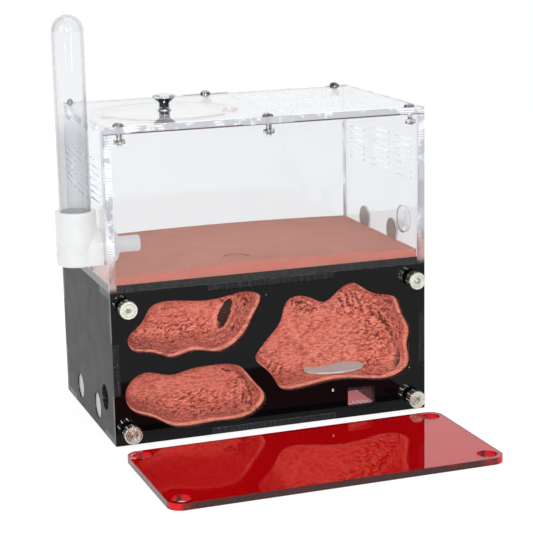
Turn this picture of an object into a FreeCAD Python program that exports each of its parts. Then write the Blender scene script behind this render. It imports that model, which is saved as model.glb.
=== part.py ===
"""Ant habitat: a black acrylic nest box with a carved plaster block, a clear arena on
top, a test tube drinker on its left side and a loose red viewing cover.

Frame: millimetres, +X to the right, +Y to the rear, +Z up. The origin is the centre of
the nest's underside. The nest front faces -Y.
"""
import FreeCAD, Part
import math
import os
import Sketcher

SIZES = {
    # sheets and box
    "sheet_gauge": 3.0,          # thickness of every acrylic sheet
    "body_width": 150.0,         # nest and arena, left to right
    "body_depth": 96.0,          # nest and arena, front to rear
    "nest_tall": 70.0,
    "arena_tall": 70.0,          # arena panes, nest top to lid underside
    "front_finger": 60.0,        # tabs of nest floor and top in the front and rear plates
    "side_finger": 56.0,         # tabs of the nest side walls in floor and top
    "corner_finger": 23.4,       # tabs at the upright corners of nest and arena
    "panel_clearance": 0.1,      # round the lift-off front panel
    # front panel
    "window_gauge": 2.0,         # clear window behind the mask
    "rim_inset": 0.8,            # plaster rim that shows round each mask cut-out
    "peep_width": 13.3,          # water window in the mask
    "peep_tall": 10.2,
    "peep_from_right": 32.2,     # its centre, from the right edge
    "peep_height": 9.0,
    "filler_hole": 1.8,          # needle hole for filling the tank
    "filler_from_right": 45.2,
    "filler_height": 14.0,
    # plaster block
    "plaster_depth": 45.0,
    "plaster_gap": 0.2,          # between plaster and acrylic
    "chamber_depth": 20.0,
    "tunnel_bore": 9.0,
    "gallery_drop": 1.5,         # gallery below the lower chamber's centre
    "climb_bore": 8.0,           # shaft's narrower run, from upper chamber to gallery
    "shaft_end_drop": 4.0,       # shaft's end below the upper chamber's centre
    "left_tunnel_end": 24.0,     # ends of the level tunnels from their chamber's centre
    "right_tunnel_end": 28.0,
    "lower_gallery_end": 20.0,
    "main_gallery_end": 24.0,
    "shaft_bore": 12.0,          # entrance shaft in plaster and slab
    "shaft_from_centre": 11.5,   # to the left
    # water tank and mesh
    "tank_width": 33.0,
    "tank_depth": 22.0,
    "tank_tall": 11.6,
    "tank_from_right": 39.0,
    "tray_wall": 1.2,
    "mesh_width": 30.0,
    "mesh_depth": 18.0,
    "mesh_gauge": 0.6,
    "mesh_height": 19.0,
    "mesh_lip": 2.0,             # plaster ledge that carries the mesh
    "mesh_headroom": 6.7,        # cleared above the ledge
    "mesh_from_front": 18.0,
    # ports and magnets, the same on all four side sheets
    "port_bore": 12.0,
    "port_from_front": 17.5,     # also the entrance shaft
    "port_height": 18.3,         # above the underside of its own sheet
    "magnet_diameter": 12.0,
    "magnet_thick": 2.4,
    "magnet_clearance": 0.1,
    "magnet_from_front": 33.1,
    "magnet_spacing": 34.0,
    "magnet_height": 9.9,
    # thumb screws and inserts
    "screw_inset": 6.5,          # screw axis from the edges of the front plate
    "screw_hole": 4.5,
    "screw_shank": 3.9,
    "screw_length": 13.0,
    "head_diameter": 8.2,
    "head_length": 5.0,
    "shoulder_diameter": 5.5,
    "shoulder_length": 2.0,
    "knurl_count": 24,
    "knurl_depth": 0.28,
    "seat_gap": 0.05,            # under the shoulder
    "edge_chamfer": 0.35,
    "insert_diameter": 5.6,
    "insert_bore": 4.0,
    "insert_length": 8.0,
    "block_side": 9.0,
    "block_depth": 12.0,
    # arena
    "slab_edge": 3.5,            # slab thickness at its left and right edges
    "slab_crown": 1.4,           # extra thickness along its middle
    "plug_diameter": 10.8,
    "plug_tall": 4.4,
    "entrance_bore": 8.0,        # through arena floor and nest top
    "vent_slot": 0.9,
    "vent_pitch": 3.0,
    "vent_rows": 7,
    "vent_short": 16.5,
    "vent_long": 21.5,
    "vent_spacing": 28.5,        # between the three columns
    "vent_height": 38.6,         # lowest row above the pane's foot
    "lid_vent_count": 16,
    "lid_vent_from_right": 21.0,
    # lid
    "lid_tab_from_middle": 12.0,  # tabs of the front and rear panes in the lid: start,
    "lid_tab_from_bolt": 5.0,    # and end short of the outer bolts
    "bolt_inset": 7.0,           # outer bolts from the left and right edges
    "bolt_shank": 2.5,
    "bolt_hole": 2.7,
    "bolt_length": 5.6,          # of its slot in the pane
    "bolt_end_gap": 0.6,         # under the bolt's end
    "bolt_head": 5.0,
    "bolt_head_tall": 1.5,
    "hex_key": 1.5,
    "hex_depth": 0.8,
    "nut_flats": 5.0,
    "nut_tall": 2.0,
    "nut_drop": 3.4,             # nut centre below the pane's top edge
    "nut_slack": 0.1,
    "round_lid": 60.0,
    "round_lid_clearance": 0.3,
    "round_lid_from_left": 40.0,
    "round_lid_from_front": 45.0,
    "ring_outside": 68.0,
    "ring_inside": 54.0,
    "ring_gauge": 2.0,
    # knob
    "knob_cap": 10.8,
    "knob_neck": 4.8,
    "knob_foot": 6.6,
    "knob_tall": 7.2,
    "knob_screw": 3.0,
    "knob_screw_gap": 0.1,       # round the screw in the lid
    "knob_screw_length": 7.3,    # under its head
    "knob_screw_head": 5.4,
    "knob_screw_head_tall": 1.6,
    # drinker
    "tube_diameter": 14.0,
    "tube_wall": 0.7,
    "tube_length": 98.7,
    "tube_clearance": 0.08,
    "connector_diameter": 18.2,
    "connector_tall": 24.0,
    "connector_below_port": 7.4,  # its foot below the port axis
    "connector_standoff": 9.75,   # tube axis to the arena wall
    "foot_round": 1.0,
    "socket_depth": 13.2,
    "well_bore": 11.0,
    "well_floor": 3.0,
    "boss_width": 17.2,
    "boss_start": 2.0,           # inside the column, from the tube's axis
    "side_bore": 6.2,
    "side_bevel": 0.7,
    "spigot_diameter": 11.8,
    "thread_diameter": 9.8,
    "thread_length": 4.0,
    "flange_diameter": 14.6,
    "flange_length": 4.5,
    "flange_bevel": 0.6,
    "pipe_slack": 0.05,          # round the pipe in the flange nut
    "pipe_outside": 7.2,
    "pipe_inside": 6.0,
    "pipe_length": 13.0,
    "pipe_grip": 2.0,
    # right port bushing
    "bushing_flange": 13.0,
    "bushing_flange_thick": 1.4,
    "bushing_bore": 8.0,
    "bushing_slack": 0.1,
    # red cover
    "cover_corner": 6.0,
    "cover_hole": 8.8,
    "cover_from_front": 51.4,    # its centre in front of the nest
    "cover_shift": -0.3,
    "cover_turn": 0.7,           # degrees
}

# Chamber outlines in the front plate, as spline points round each chamber's own centre.
UPPER_CHAMBER = (
    (-30.7, -4.4), (-28.4, -7.8), (-18.6, -10.1), (-10.8, -13.0), (-0.7, -11.2),
    (11.9, -12.6), (19.8, -9.3), (25.4, -3.4), (28.0, 1.7), (31.6, 11.2), (28.5, 13.3),
    (13.8, 12.6), (0.1, 12.2), (-8.7, 13.2), (-20.5, 10.8), (-24.2, 4.8),
)
LOWER_CHAMBER = (
    (-32.8, 2.7), (-30.8, 9.0), (-23.9, 13.2), (-12.2, 10.9), (-3.9, 12.3), (8.1, 13.2),
    (20.2, 11.4), (27.9, 2.7), (33.0, -5.8), (27.6, -11.9), (9.8, -13.9), (-11.9, -13.1),
    (-20.0, -8.4), (-27.6, -5.3),
)
MAIN_CHAMBER = (
    (-40.3, -2.7), (-34.5, 4.4), (-28.2, 12.2), (-24.9, 20.8), (-15.7, 21.9), (-7.0, 18.6),
    (0.5, 23.6), (7.0, 26.0), (15.6, 20.9), (29.0, 16.5), (32.5, 8.2), (36.1, -0.8),
    (35.1, -5.6), (35.7, -16.2), (28.9, -21.0), (14.1, -20.8), (-2.5, -19.5),
    (-17.0, -21.3), (-28.8, -20.0), (-34.2, -11.8),
)
# A chamber's scoop: share of its depth, and how far its outline has drawn in there.
SCOOP = ((0.0, 0.0), (0.55, 1.2), (1.0, 4.6))
CHAMBERS = {
    # name: outline, side that its centre is measured from, distance, height of centre
    "upper": (UPPER_CHAMBER, "left", 38.0, 51.0),
    "lower": (LOWER_CHAMBER, "left", 38.0, 19.5),
    "main": (MAIN_CHAMBER, "right", 43.0, 38.0),
}

doc = FreeCAD.newDocument("AntHabitat")


class Measure:
    """A size kept as its number and as the spreadsheet expression that gives it."""

    def __init__(self, number, text):
        self.number = number
        self.text = text

    def combine(self, other, sign, number, swap=False):
        other_text = other.text if isinstance(other, Measure) else repr(float(other))
        pair = (other_text, self.text) if swap else (self.text, other_text)
        return Measure(number, "(%s %s %s)" % (pair[0], sign, pair[1]))

    def __float__(self):
        return float(self.number)

    def __add__(self, other):
        return self.combine(other, "+", self.number + float(other))

    def __radd__(self, other):
        return self.combine(other, "+", float(other) + self.number, swap=True)

    def __sub__(self, other):
        return self.combine(other, "-", self.number - float(other))

    def __rsub__(self, other):
        return self.combine(other, "-", float(other) - self.number, swap=True)

    def __mul__(self, other):
        return self.combine(other, "*", self.number * float(other))

    def __truediv__(self, other):
        return self.combine(other, "/", self.number / float(other))

    def __neg__(self):
        return Measure(-self.number, "(0 - %s)" % self.text)


def make_sheet():
    """Write the driving dimensions to the spreadsheet and return them as measures."""
    sheet = doc.addObject("Spreadsheet::Sheet", "Sizes")
    for row, (alias, number) in enumerate(SIZES.items(), start=1):
        sheet.set("A%d" % row, alias)
        sheet.set("B%d" % row, repr(number))
        sheet.setAlias("B%d" % row, alias)
    doc.recompute()
    return {alias: Measure(float(sheet.get(alias)), "Sizes." + alias) for alias in SIZES}


S = make_sheet()
GAUGE = S["sheet_gauge"]
ZERO = GAUGE * 0
HALF_WIDTH = S["body_width"] / 2
HALF_DEPTH = S["body_depth"] / 2
NEST_TOP = S["nest_tall"]
ARENA_TOP = S["nest_tall"] + S["arena_tall"]
LID_TOP = ARENA_TOP + GAUGE
FRONT_INSIDE = GAUGE - HALF_DEPTH
WINDOW_BACK = FRONT_INSIDE + S["window_gauge"]
PLASTER_FRONT = WINDOW_BACK + S["plaster_gap"]
SHAFT_X = -S["shaft_from_centre"]
PORT_Y = S["port_from_front"] - HALF_DEPTH
SHAFT_Y = PORT_Y
ARENA_PORT_Z = NEST_TOP + S["port_height"]
ROUND_X = S["round_lid_from_left"] - HALF_WIDTH
ROUND_Y = S["round_lid_from_front"] - HALF_DEPTH
TUBE_X = -(HALF_WIDTH + S["connector_standoff"])
CONNECTOR_FOOT = ARENA_PORT_Z - S["connector_below_port"]
CONNECTOR_TOP = CONNECTOR_FOOT + S["connector_tall"]
SCREW_CORNERS = {
    "upper_left": (S["screw_inset"] - HALF_WIDTH, NEST_TOP - S["screw_inset"]),
    "upper_right": (HALF_WIDTH - S["screw_inset"], NEST_TOP - S["screw_inset"]),
    "lower_left": (S["screw_inset"] - HALF_WIDTH, S["screw_inset"]),
    "lower_right": (HALF_WIDTH - S["screw_inset"], S["screw_inset"]),
}
NORMAL_SIGN = {"XY_Plane": 1, "XZ_Plane": -1, "YZ_Plane": 1}
OVERCUT = 1.0                    # how far a cutter runs past the face that it starts from
MAGNETS = (0, 1)                 # the two magnets of a side sheet, front and rear
X_AXIS = FreeCAD.Vector(1, 0, 0)
Y_AXIS = FreeCAD.Vector(0, 1, 0)
Z_AXIS = FreeCAD.Vector(0, 0, 1)
parts = []


def bind(item, **properties):
    """Tie properties to their measures; a double underscore stands for a dot."""
    for name, measure in properties.items():
        item.setExpression(name.replace("__", "."), measure.text)


def keep(item, label):
    """Name a finished sub-part and put it on the list that is written out."""
    item.Label = label
    parts.append(item)
    return item


def place(item, x=None, y=None, z=None, axis=None, angle=0.0):
    """Turn a sub-part, then tie its position to the given measures."""
    if axis:
        item.Placement = FreeCAD.Placement(FreeCAD.Vector(), FreeCAD.Rotation(axis, angle))
    for letter, measure in (("x", x), ("y", y), ("z", z)):
        if measure is not None:
            item.setExpression("Placement.Base." + letter, measure.text)
    return item


# ---------------------------------------------------------------- sketches and features
def sketch_on(body, name, plane, level=None):
    """A sketch on one of the body's origin planes, moved to a level along that axis."""
    sketch = body.newObject("Sketcher::SketchObject", name)
    support = [item for item in body.Origin.OriginFeatures if item.Role == plane][0]
    sketch.AttachmentSupport = [(support, "")]
    sketch.MapMode = "FlatFace"
    if level is not None:
        offset = level if NORMAL_SIGN[plane] > 0 else -level
        sketch.setExpression("AttachmentOffset.Base.z", offset.text)
    return sketch


def pin_point(sketch, geometry, end, point):
    """Fix one point of a sketch at a pair of measures from the sketch's origin."""
    for kind, measure in zip(("DistanceX", "DistanceY"), point):
        index = sketch.addConstraint(
            Sketcher.Constraint(kind, -1, 1, geometry, end, float(measure)))
        if isinstance(measure, Measure):
            sketch.setExpression("Constraints[%d]" % index, measure.text)


def draw_polygon(sketch, corners):
    """Closed straight-sided outline through corners given as pairs of measures."""
    spots = [FreeCAD.Vector(float(a), float(b), 0) for a, b in corners]
    first = None
    for spot, following in zip(spots, spots[1:] + spots[:1]):
        added = sketch.addGeometry(Part.LineSegment(spot, following))
        first = added if first is None else first
    for step, corner in enumerate(corners):
        line = first + step
        following = first + (step + 1) % len(corners)
        sketch.addConstraint(Sketcher.Constraint("Coincident", line, 2, following, 1))
        pin_point(sketch, line, 1, corner)


def draw_rectangle(sketch, centre, width, height):
    left = centre[0] - width / 2
    right = centre[0] + width / 2
    low = centre[1] - height / 2
    high = centre[1] + height / 2
    draw_polygon(sketch, [(left, low), (right, low), (right, high), (left, high)])


def draw_circle(sketch, centre, diameter):
    middle = FreeCAD.Vector(float(centre[0]), float(centre[1]), 0)
    circle = sketch.addGeometry(Part.Circle(middle, Z_AXIS, float(diameter) / 2))
    pin_point(sketch, circle, 3, centre)
    index = sketch.addConstraint(
        Sketcher.Constraint("Diameter", circle, float(diameter)))
    sketch.setExpression("Constraints[%d]" % index, diameter.text)


def new_body(name):
    return doc.addObject("PartDesign::Body", name)


def pad(body, sketch, length):
    feature = body.newObject("PartDesign::Pad", "Pad")
    feature.Profile = sketch
    bind(feature, Length=length)
    return feature


def pocket(body, sketch, depth=None, against_normal=False):
    """Cut a sketch out of the body, all the way through or to a depth."""
    doc.recompute()
    before = body.Shape.Volume
    feature = body.newObject("PartDesign::Pocket", "Pocket")
    feature.Profile = sketch
    feature.Reversed = not against_normal
    if depth is None:
        feature.Type = "ThroughAll"
    else:
        bind(feature, Length=depth)
    doc.recompute()
    if not body.Shape.Volume < before:
        raise RuntimeError("a pocket in %s removes nothing" % body.Name)
    return feature


def repeat_row(body, feature, sketch, axis, pitch, count):
    """Repeat a feature along a sketch axis at a pitch."""
    pattern = body.newObject("PartDesign::LinearPattern", "Row")
    pattern.Originals = [feature]
    pattern.Direction = (sketch, [axis])
    bind(pattern, Length=pitch * (count - 1), Occurrences=count)
    body.Tip = pattern
    return pattern


def revolve(label, profile):
    """A turned piece about +Z from its half profile, given as (radius, height) pairs."""
    body = new_body(label)
    sketch = sketch_on(body, "Profile", "XZ_Plane")
    draw_polygon(sketch, profile)
    turn = body.newObject("PartDesign::Revolution", "Turned")
    turn.Profile = sketch
    turn.ReferenceAxis = (sketch, ["V_Axis"])
    turn.Angle = 360
    return body


# ---------------------------------------------------------------- finger-jointed sheets
def finger_outline(low_u, high_u, low_v, high_v, span_u, span_v, out_u, out_v):
    """A rectangle whose four edges each step out by a tab, or in by a notch, mid-edge.

    span_u is the tab's length on the low_v and high_v edges, which steps by out_v;
    span_v is its length on the low_u and high_u edges, which steps by out_u.
    """
    mid_u = (low_u + high_u) / 2
    mid_v = (low_v + high_v) / 2
    u1 = mid_u - span_u / 2
    u2 = mid_u + span_u / 2
    v1 = mid_v - span_v / 2
    v2 = mid_v + span_v / 2
    return [
        (low_u, low_v), (u1, low_v), (u1, low_v - out_v), (u2, low_v - out_v),
        (u2, low_v), (high_u, low_v), (high_u, v1), (high_u + out_u, v1),
        (high_u + out_u, v2), (high_u, v2), (high_u, high_v), (u2, high_v),
        (u2, high_v + out_v), (u1, high_v + out_v), (u1, high_v), (low_u, high_v),
        (low_u, v2), (low_u - out_u, v2), (low_u - out_u, v1), (low_u, v1),
    ]


def sheet_body(name, plane, level, corners, thickness):
    """A sheet cut to an outline, its thickness running along the plane's normal."""
    body = new_body(name)
    sketch = sketch_on(body, "Outline", plane, level)
    draw_polygon(sketch, corners)
    pad(body, sketch, thickness)
    return body


def drill(body, plane, level, circles):
    """Drill circles, given as ((u, v), diameter), through a sheet."""
    sketch = sketch_on(body, "Holes", plane, level)
    for centre, diameter in circles:
        draw_circle(sketch, centre, diameter)
    return pocket(body, sketch)


def level_sheet(name, level, holes):
    """Nest floor or top: fingers reach into all four upright sheets."""
    body = sheet_body(
        name, "XY_Plane", level,
        finger_outline(-HALF_WIDTH, HALF_WIDTH, FRONT_INSIDE, -FRONT_INSIDE,
                       S["front_finger"], S["side_finger"], -GAUGE, GAUGE),
        GAUGE)
    if holes:
        drill(body, "XY_Plane", level, holes)
    return keep(body, name)


def upright_outline(slack):
    """Front or rear nest plate: full size, notched mid-edge for the other sheets."""
    return finger_outline(
        -HALF_WIDTH, HALF_WIDTH, ZERO, NEST_TOP,
        S["front_finger"] + slack * 2, S["corner_finger"] + slack * 2,
        -(GAUGE + slack), -(GAUGE + slack))


def magnet_y(step):
    """How far back a side sheet's magnet sits."""
    return S["magnet_from_front"] - HALF_DEPTH + S["magnet_spacing"] * step


def side_holes(foot):
    """Port and two magnet holes of a side sheet, from its front edge and its foot."""
    magnet_hole = S["magnet_diameter"] + S["magnet_clearance"] * 2
    height = foot + S["magnet_height"]
    return [((PORT_Y, foot + S["port_height"]), S["port_bore"])] + [
        ((magnet_y(step), height), magnet_hole) for step in MAGNETS]


def nest_side_wall(name, level):
    body = sheet_body(
        name, "YZ_Plane", level,
        finger_outline(FRONT_INSIDE, -FRONT_INSIDE, GAUGE, NEST_TOP - GAUGE,
                       S["side_finger"], S["corner_finger"], GAUGE, GAUGE),
        GAUGE)
    drill(body, "YZ_Plane", level, side_holes(ZERO))
    return keep(body, name)


def magnets(name, foot):
    """Four flush magnets, two in each side sheet, set just below the outer face."""
    recess = GAUGE - S["magnet_thick"]
    discs = []
    for side in (-1, 1):
        outer_face = HALF_WIDTH * side - recess * side
        for step in MAGNETS:
            disc = doc.addObject("Part::Cylinder", "Magnet")
            bind(disc, Radius=S["magnet_diameter"] / 2, Height=S["magnet_thick"])
            start = outer_face if side < 0 else outer_face - S["magnet_thick"]
            place(disc, start, magnet_y(step), foot + S["magnet_height"], Y_AXIS, 90)
            discs.append(disc)
    return group(name, discs)


def group(name, members):
    """Loose identical pieces that share one node."""
    compound = doc.addObject("Part::Compound", name)
    compound.Links = members
    return keep(compound, name)


# ---------------------------------------------------------------- nest
def chamber_centre(name):
    """Where a chamber's outline is centred on the front plate."""
    side, distance, height = CHAMBERS[name][1:]
    half = float(HALF_WIDTH)
    x = distance - half if side == "left" else half - distance
    return x, height


def chamber_wire(name, y, inset):
    """A chamber's closed spline outline at depth y, drawn in by an inset."""
    centre_x, centre_z = chamber_centre(name)
    points = []
    for dx, dz in CHAMBERS[name][0]:
        shrink = 1 - inset / math.hypot(dx, dz)
        points.append(FreeCAD.Vector(centre_x + dx * shrink, y, centre_z + dz * shrink))
    curve = Part.BSplineCurve()
    curve.interpolate(Points=points, PeriodicFlag=True)
    return Part.Wire([curve.toShape()])


def mask_cutters():
    """Straight cutters for the three chamber openings in the front mask."""
    start = -float(HALF_DEPTH) - OVERCUT
    reach = FreeCAD.Vector(0, float(GAUGE) + 2 * OVERCUT, 0)
    return [Part.Face(chamber_wire(name, start, 0)).extrude(reach) for name in CHAMBERS]


def chamber_cutters():
    """Scooped chambers: the walls close in towards a smaller, rounded back."""
    front = float(PLASTER_FRONT)
    depth = float(S["chamber_depth"])
    cutters = []
    for name in CHAMBERS:
        wires = [chamber_wire(name, front + share * depth, float(S["rim_inset"]) + inset)
                 for share, inset in SCOOP]
        lip = Part.Face(wires[0]).extrude(FreeCAD.Vector(0, -OVERCUT, 0))
        cutters.append(Part.makeLoft(wires, True, False).fuse(lip))
    return cutters


def rod(start, end, diameter):
    """A round cutter between two points."""
    run = FreeCAD.Vector(*end) - FreeCAD.Vector(*start)
    return Part.makeCylinder(float(diameter) / 2, run.Length, FreeCAD.Vector(*start), run)


def tunnel_cutters():
    """Entrance shaft, side ports and the galleries between chambers."""
    y = float(SHAFT_Y)
    half = float(HALF_WIDTH)
    port_z = float(S["port_height"])
    upper_z = chamber_centre("upper")[1]
    lower_x, lower_z = chamber_centre("lower")
    main_x = chamber_centre("main")[0]
    shaft_x = float(SHAFT_X)
    shaft_foot = upper_z - float(S["shaft_end_drop"])
    gallery_z = lower_z - float(S["gallery_drop"])
    left_end = lower_x - float(S["left_tunnel_end"])
    right_end = main_x + float(S["right_tunnel_end"])
    gallery_ends = (lower_x + float(S["lower_gallery_end"]),
                    main_x - float(S["main_gallery_end"]))
    return [
        rod((shaft_x, y, shaft_foot), (shaft_x, y, float(NEST_TOP)), S["shaft_bore"]),
        rod((-half, y, port_z), (left_end, y, port_z), S["port_bore"]),
        rod((right_end, y, port_z), (half, y, port_z), S["port_bore"]),
        rod((gallery_ends[0], y, gallery_z), (gallery_ends[1], y, gallery_z),
            S["tunnel_bore"]),
        rod((shaft_x, y, gallery_z), (shaft_x, y, upper_z), S["climb_bore"]),
    ]


def mesh_outline(height, lip):
    """The mesh's round-ended outline at a height, drawn in by a lip."""
    x = float(HALF_WIDTH) - float(S["tank_from_right"])
    y = float(S["mesh_from_front"]) - float(HALF_DEPTH)
    length = float(S["mesh_width"]) / 2 - lip
    breadth = float(S["mesh_depth"]) / 2 - lip
    ellipse = Part.Ellipse(FreeCAD.Vector(x, y, height), length, breadth)
    return Part.Wire([ellipse.toShape()])


def tank_left():
    """The left side of the tank's hollow in the plaster."""
    return HALF_WIDTH - S["tank_from_right"] - S["tank_width"] / 2


def tank_cutters():
    """The tank's hollow, the well above it and the room of the mesh."""
    corner = FreeCAD.Vector(float(tank_left()), float(PLASTER_FRONT) - OVERCUT, float(GAUGE))
    hollow = Part.makeBox(float(S["tank_width"]), float(S["tank_depth"]) + OVERCUT,
                          float(S["tank_tall"]), corner)
    roof = float(GAUGE) + float(S["tank_tall"])
    seat = float(S["mesh_height"])
    well = Part.Face(mesh_outline(roof - OVERCUT, float(S["mesh_lip"])))
    room = Part.Face(mesh_outline(seat, 0))
    return [hollow, well.extrude(FreeCAD.Vector(0, 0, seat - roof + 2 * OVERCUT)),
            room.extrude(FreeCAD.Vector(0, 0, float(S["mesh_headroom"])))]


def block_cutters():
    """Room for the screw blocks at the corners of the plaster."""
    gap = float(S["plaster_gap"])
    side = float(S["block_side"]) + 2 * gap
    deep = float(S["block_depth"]) + OVERCUT
    front = float(PLASTER_FRONT) - OVERCUT
    cutters = []
    for name, corner in SCREW_CORNERS.items():
        x, z = (float(value) for value in block_centre(name, corner))
        start = FreeCAD.Vector(x - side / 2, front, z - side / 2)
        cutters.append(Part.makeBox(side, deep, side, start))
    return cutters


def nest_plaster():
    """Cast block behind the window, notched at its corners for the screw blocks."""
    gap = S["plaster_gap"]
    side = HALF_WIDTH - GAUGE - gap
    low = GAUGE
    high = NEST_TOP - GAUGE - gap
    body = new_body("plaster_blank")
    sketch = sketch_on(body, "Outline", "XZ_Plane", PLASTER_FRONT + S["plaster_depth"])
    draw_polygon(sketch, [(-side, low), (side, low), (side, high), (-side, high)])
    pad(body, sketch, S["plaster_depth"])
    doc.recompute()
    carving = doc.addObject("Part::Feature", "plaster_carving")
    tools = chamber_cutters() + tunnel_cutters() + tank_cutters() + block_cutters()
    carving.Shape = tools[0].multiFuse(tools[1:])
    cut = doc.addObject("Part::Cut", "nest_plaster")
    cut.Base = body
    cut.Tool = carving
    return keep(cut, "nest_plaster")


def nest_front():
    """Black mask plate: notched edges, three chamber openings, water window, holes."""
    clearance = S["panel_clearance"]
    level = FRONT_INSIDE
    blank = sheet_body("front_blank", "XZ_Plane", level, upright_outline(clearance), GAUGE)
    sketch = sketch_on(blank, "Openings", "XZ_Plane", level)
    for corner in SCREW_CORNERS.values():
        draw_circle(sketch, corner, S["screw_hole"])
    draw_circle(sketch, (HALF_WIDTH - S["filler_from_right"], S["filler_height"]),
                S["filler_hole"])
    draw_rectangle(sketch, (HALF_WIDTH - S["peep_from_right"], S["peep_height"]),
                   S["peep_width"], S["peep_tall"])
    pocket(blank, sketch)
    cutter = doc.addObject("Part::Feature", "mask_openings")
    cutter.Shape = Part.makeCompound(mask_cutters())
    cut = doc.addObject("Part::Cut", "nest_front")
    cut.Base = blank
    cut.Tool = cutter
    return keep(cut, "nest_front")


def nest_window():
    """Clear sheet behind the mask, between the walls."""
    slack = S["panel_clearance"]
    side = HALF_WIDTH - GAUGE - slack
    low = GAUGE + slack
    high = NEST_TOP - GAUGE - slack
    body = sheet_body("nest_window", "XZ_Plane", WINDOW_BACK,
                      [(-side, low), (side, low), (side, high), (-side, high)],
                      S["window_gauge"])
    drill(body, "XZ_Plane", WINDOW_BACK,
          [(corner, S["screw_hole"]) for corner in SCREW_CORNERS.values()]
          + [((HALF_WIDTH - S["filler_from_right"], S["filler_height"]),
              S["filler_hole"])])
    return keep(body, "nest_window")


def water_tray():
    """Open-fronted liner of the tank, which stands on the nest floor."""
    gap = S["plaster_gap"]
    wall = S["tray_wall"]
    left = tank_left() + gap
    right = tank_left() + S["tank_width"] - gap
    back = PLASTER_FRONT + S["tank_depth"] - gap
    tall = S["tank_tall"] - gap
    body = sheet_body("water_tray", "XY_Plane", GAUGE,
                      [(left, PLASTER_FRONT), (right, PLASTER_FRONT), (right, back),
                       (left, back)], tall)
    hollow = sketch_on(body, "Hollow", "XY_Plane", GAUGE + wall)
    draw_polygon(hollow, [
        (left + wall, PLASTER_FRONT - OVERCUT), (right - wall, PLASTER_FRONT - OVERCUT),
        (right - wall, back - wall), (left + wall, back - wall)])
    pocket(body, hollow, tall)
    return keep(body, "water_tray")


def moisture_mesh():
    """Steel mesh disc on its ledge over the tank."""
    mesh = doc.addObject("Part::Feature", "moisture_mesh")
    fit = float(S["plaster_gap"])
    plate = Part.Face(mesh_outline(float(S["mesh_height"]), fit))
    mesh.Shape = plate.extrude(FreeCAD.Vector(0, 0, float(S["mesh_gauge"])))
    return keep(mesh, "moisture_mesh")


def block_centre(name, corner):
    """A screw block touches both sheets of its corner, so it stands inward of its screw."""
    inward = GAUGE + S["block_side"] / 2 - S["screw_inset"]
    x = corner[0] + inward if name.endswith("left") else corner[0] - inward
    z = corner[1] + inward if name.startswith("lower") else corner[1] - inward
    return x, z


def corner_blocks():
    """Clear blocks glued in the nest's corners; each holds a threaded insert."""
    level = WINDOW_BACK + S["block_depth"]
    members = []
    for name, corner in SCREW_CORNERS.items():
        body = new_body("block_" + name)
        sketch = sketch_on(body, "Outline", "XZ_Plane", level)
        draw_rectangle(sketch, block_centre(name, corner), S["block_side"],
                       S["block_side"])
        pad(body, sketch, S["block_depth"])
        drill(body, "XZ_Plane", level, [(corner, S["insert_diameter"])])
        members.append(body)
    return group("corner_blocks", members)


def thread_inserts():
    """Brass inserts that take the thumb screws."""
    members = []
    for x, z in SCREW_CORNERS.values():
        outer = S["insert_diameter"] / 2
        inner = S["insert_bore"] / 2
        ring = revolve("insert_blank", [(inner, ZERO), (outer, ZERO),
                                        (outer, S["insert_length"]),
                                        (inner, S["insert_length"])])
        place(ring, x, WINDOW_BACK + S["insert_length"], z, X_AXIS, 90)
        members.append(ring)
    return group("thread_inserts", members)


# Turned rings in a screw's face: share of the head's radius, depth below its face.
FACE_RINGS = ((0.72, 0.0), (0.66, 0.3), (0.34, 0.3), (0.30, 0.1), (0.22, 0.1), (0.18, 0.6),
              (0.0, 0.6))
GROOVE_SPREAD = 1.2              # half width of a knurl groove per depth


def thumb_screw(name, corner):
    """Knurled nickel head on a shoulder, with a plain shank for the thread."""
    shank = S["screw_shank"] / 2
    shoulder = S["shoulder_diameter"] / 2
    head = S["head_diameter"] / 2
    neck = S["shoulder_length"]
    face = neck + S["head_length"]
    tip = -S["screw_length"]
    seat = ZERO + S["seat_gap"]
    chamfer = S["edge_chamfer"]
    body = revolve(name, [
        (ZERO, tip), (shank - chamfer, tip), (shank, tip + chamfer), (shank, seat),
        (shoulder, seat), (shoulder, neck), (head - chamfer, neck),
        (head, neck + chamfer), (head, face - chamfer), (head - chamfer, face),
    ] + [(head * share, face - depth) for share, depth in FACE_RINGS])
    sketch = sketch_on(body, "Groove", "XY_Plane", neck - OVERCUT)
    depth = S["knurl_depth"]
    brim = head + depth
    half_groove = depth * 2 * GROOVE_SPREAD
    draw_polygon(sketch, [(head - depth, ZERO), (brim, half_groove),
                          (brim, -half_groove)])
    groove = pocket(body, sketch, S["head_length"] + 2 * OVERCUT)
    knurl = body.newObject("PartDesign::PolarPattern", "Knurl")
    knurl.Originals = [groove]
    knurl.Axis = (sketch, ["N_Axis"])
    knurl.Angle = 360
    bind(knurl, Occurrences=S["knurl_count"])
    body.Tip = knurl
    place(body, corner[0], -HALF_DEPTH, corner[1], X_AXIS, 90)
    return keep(body, name)


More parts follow.
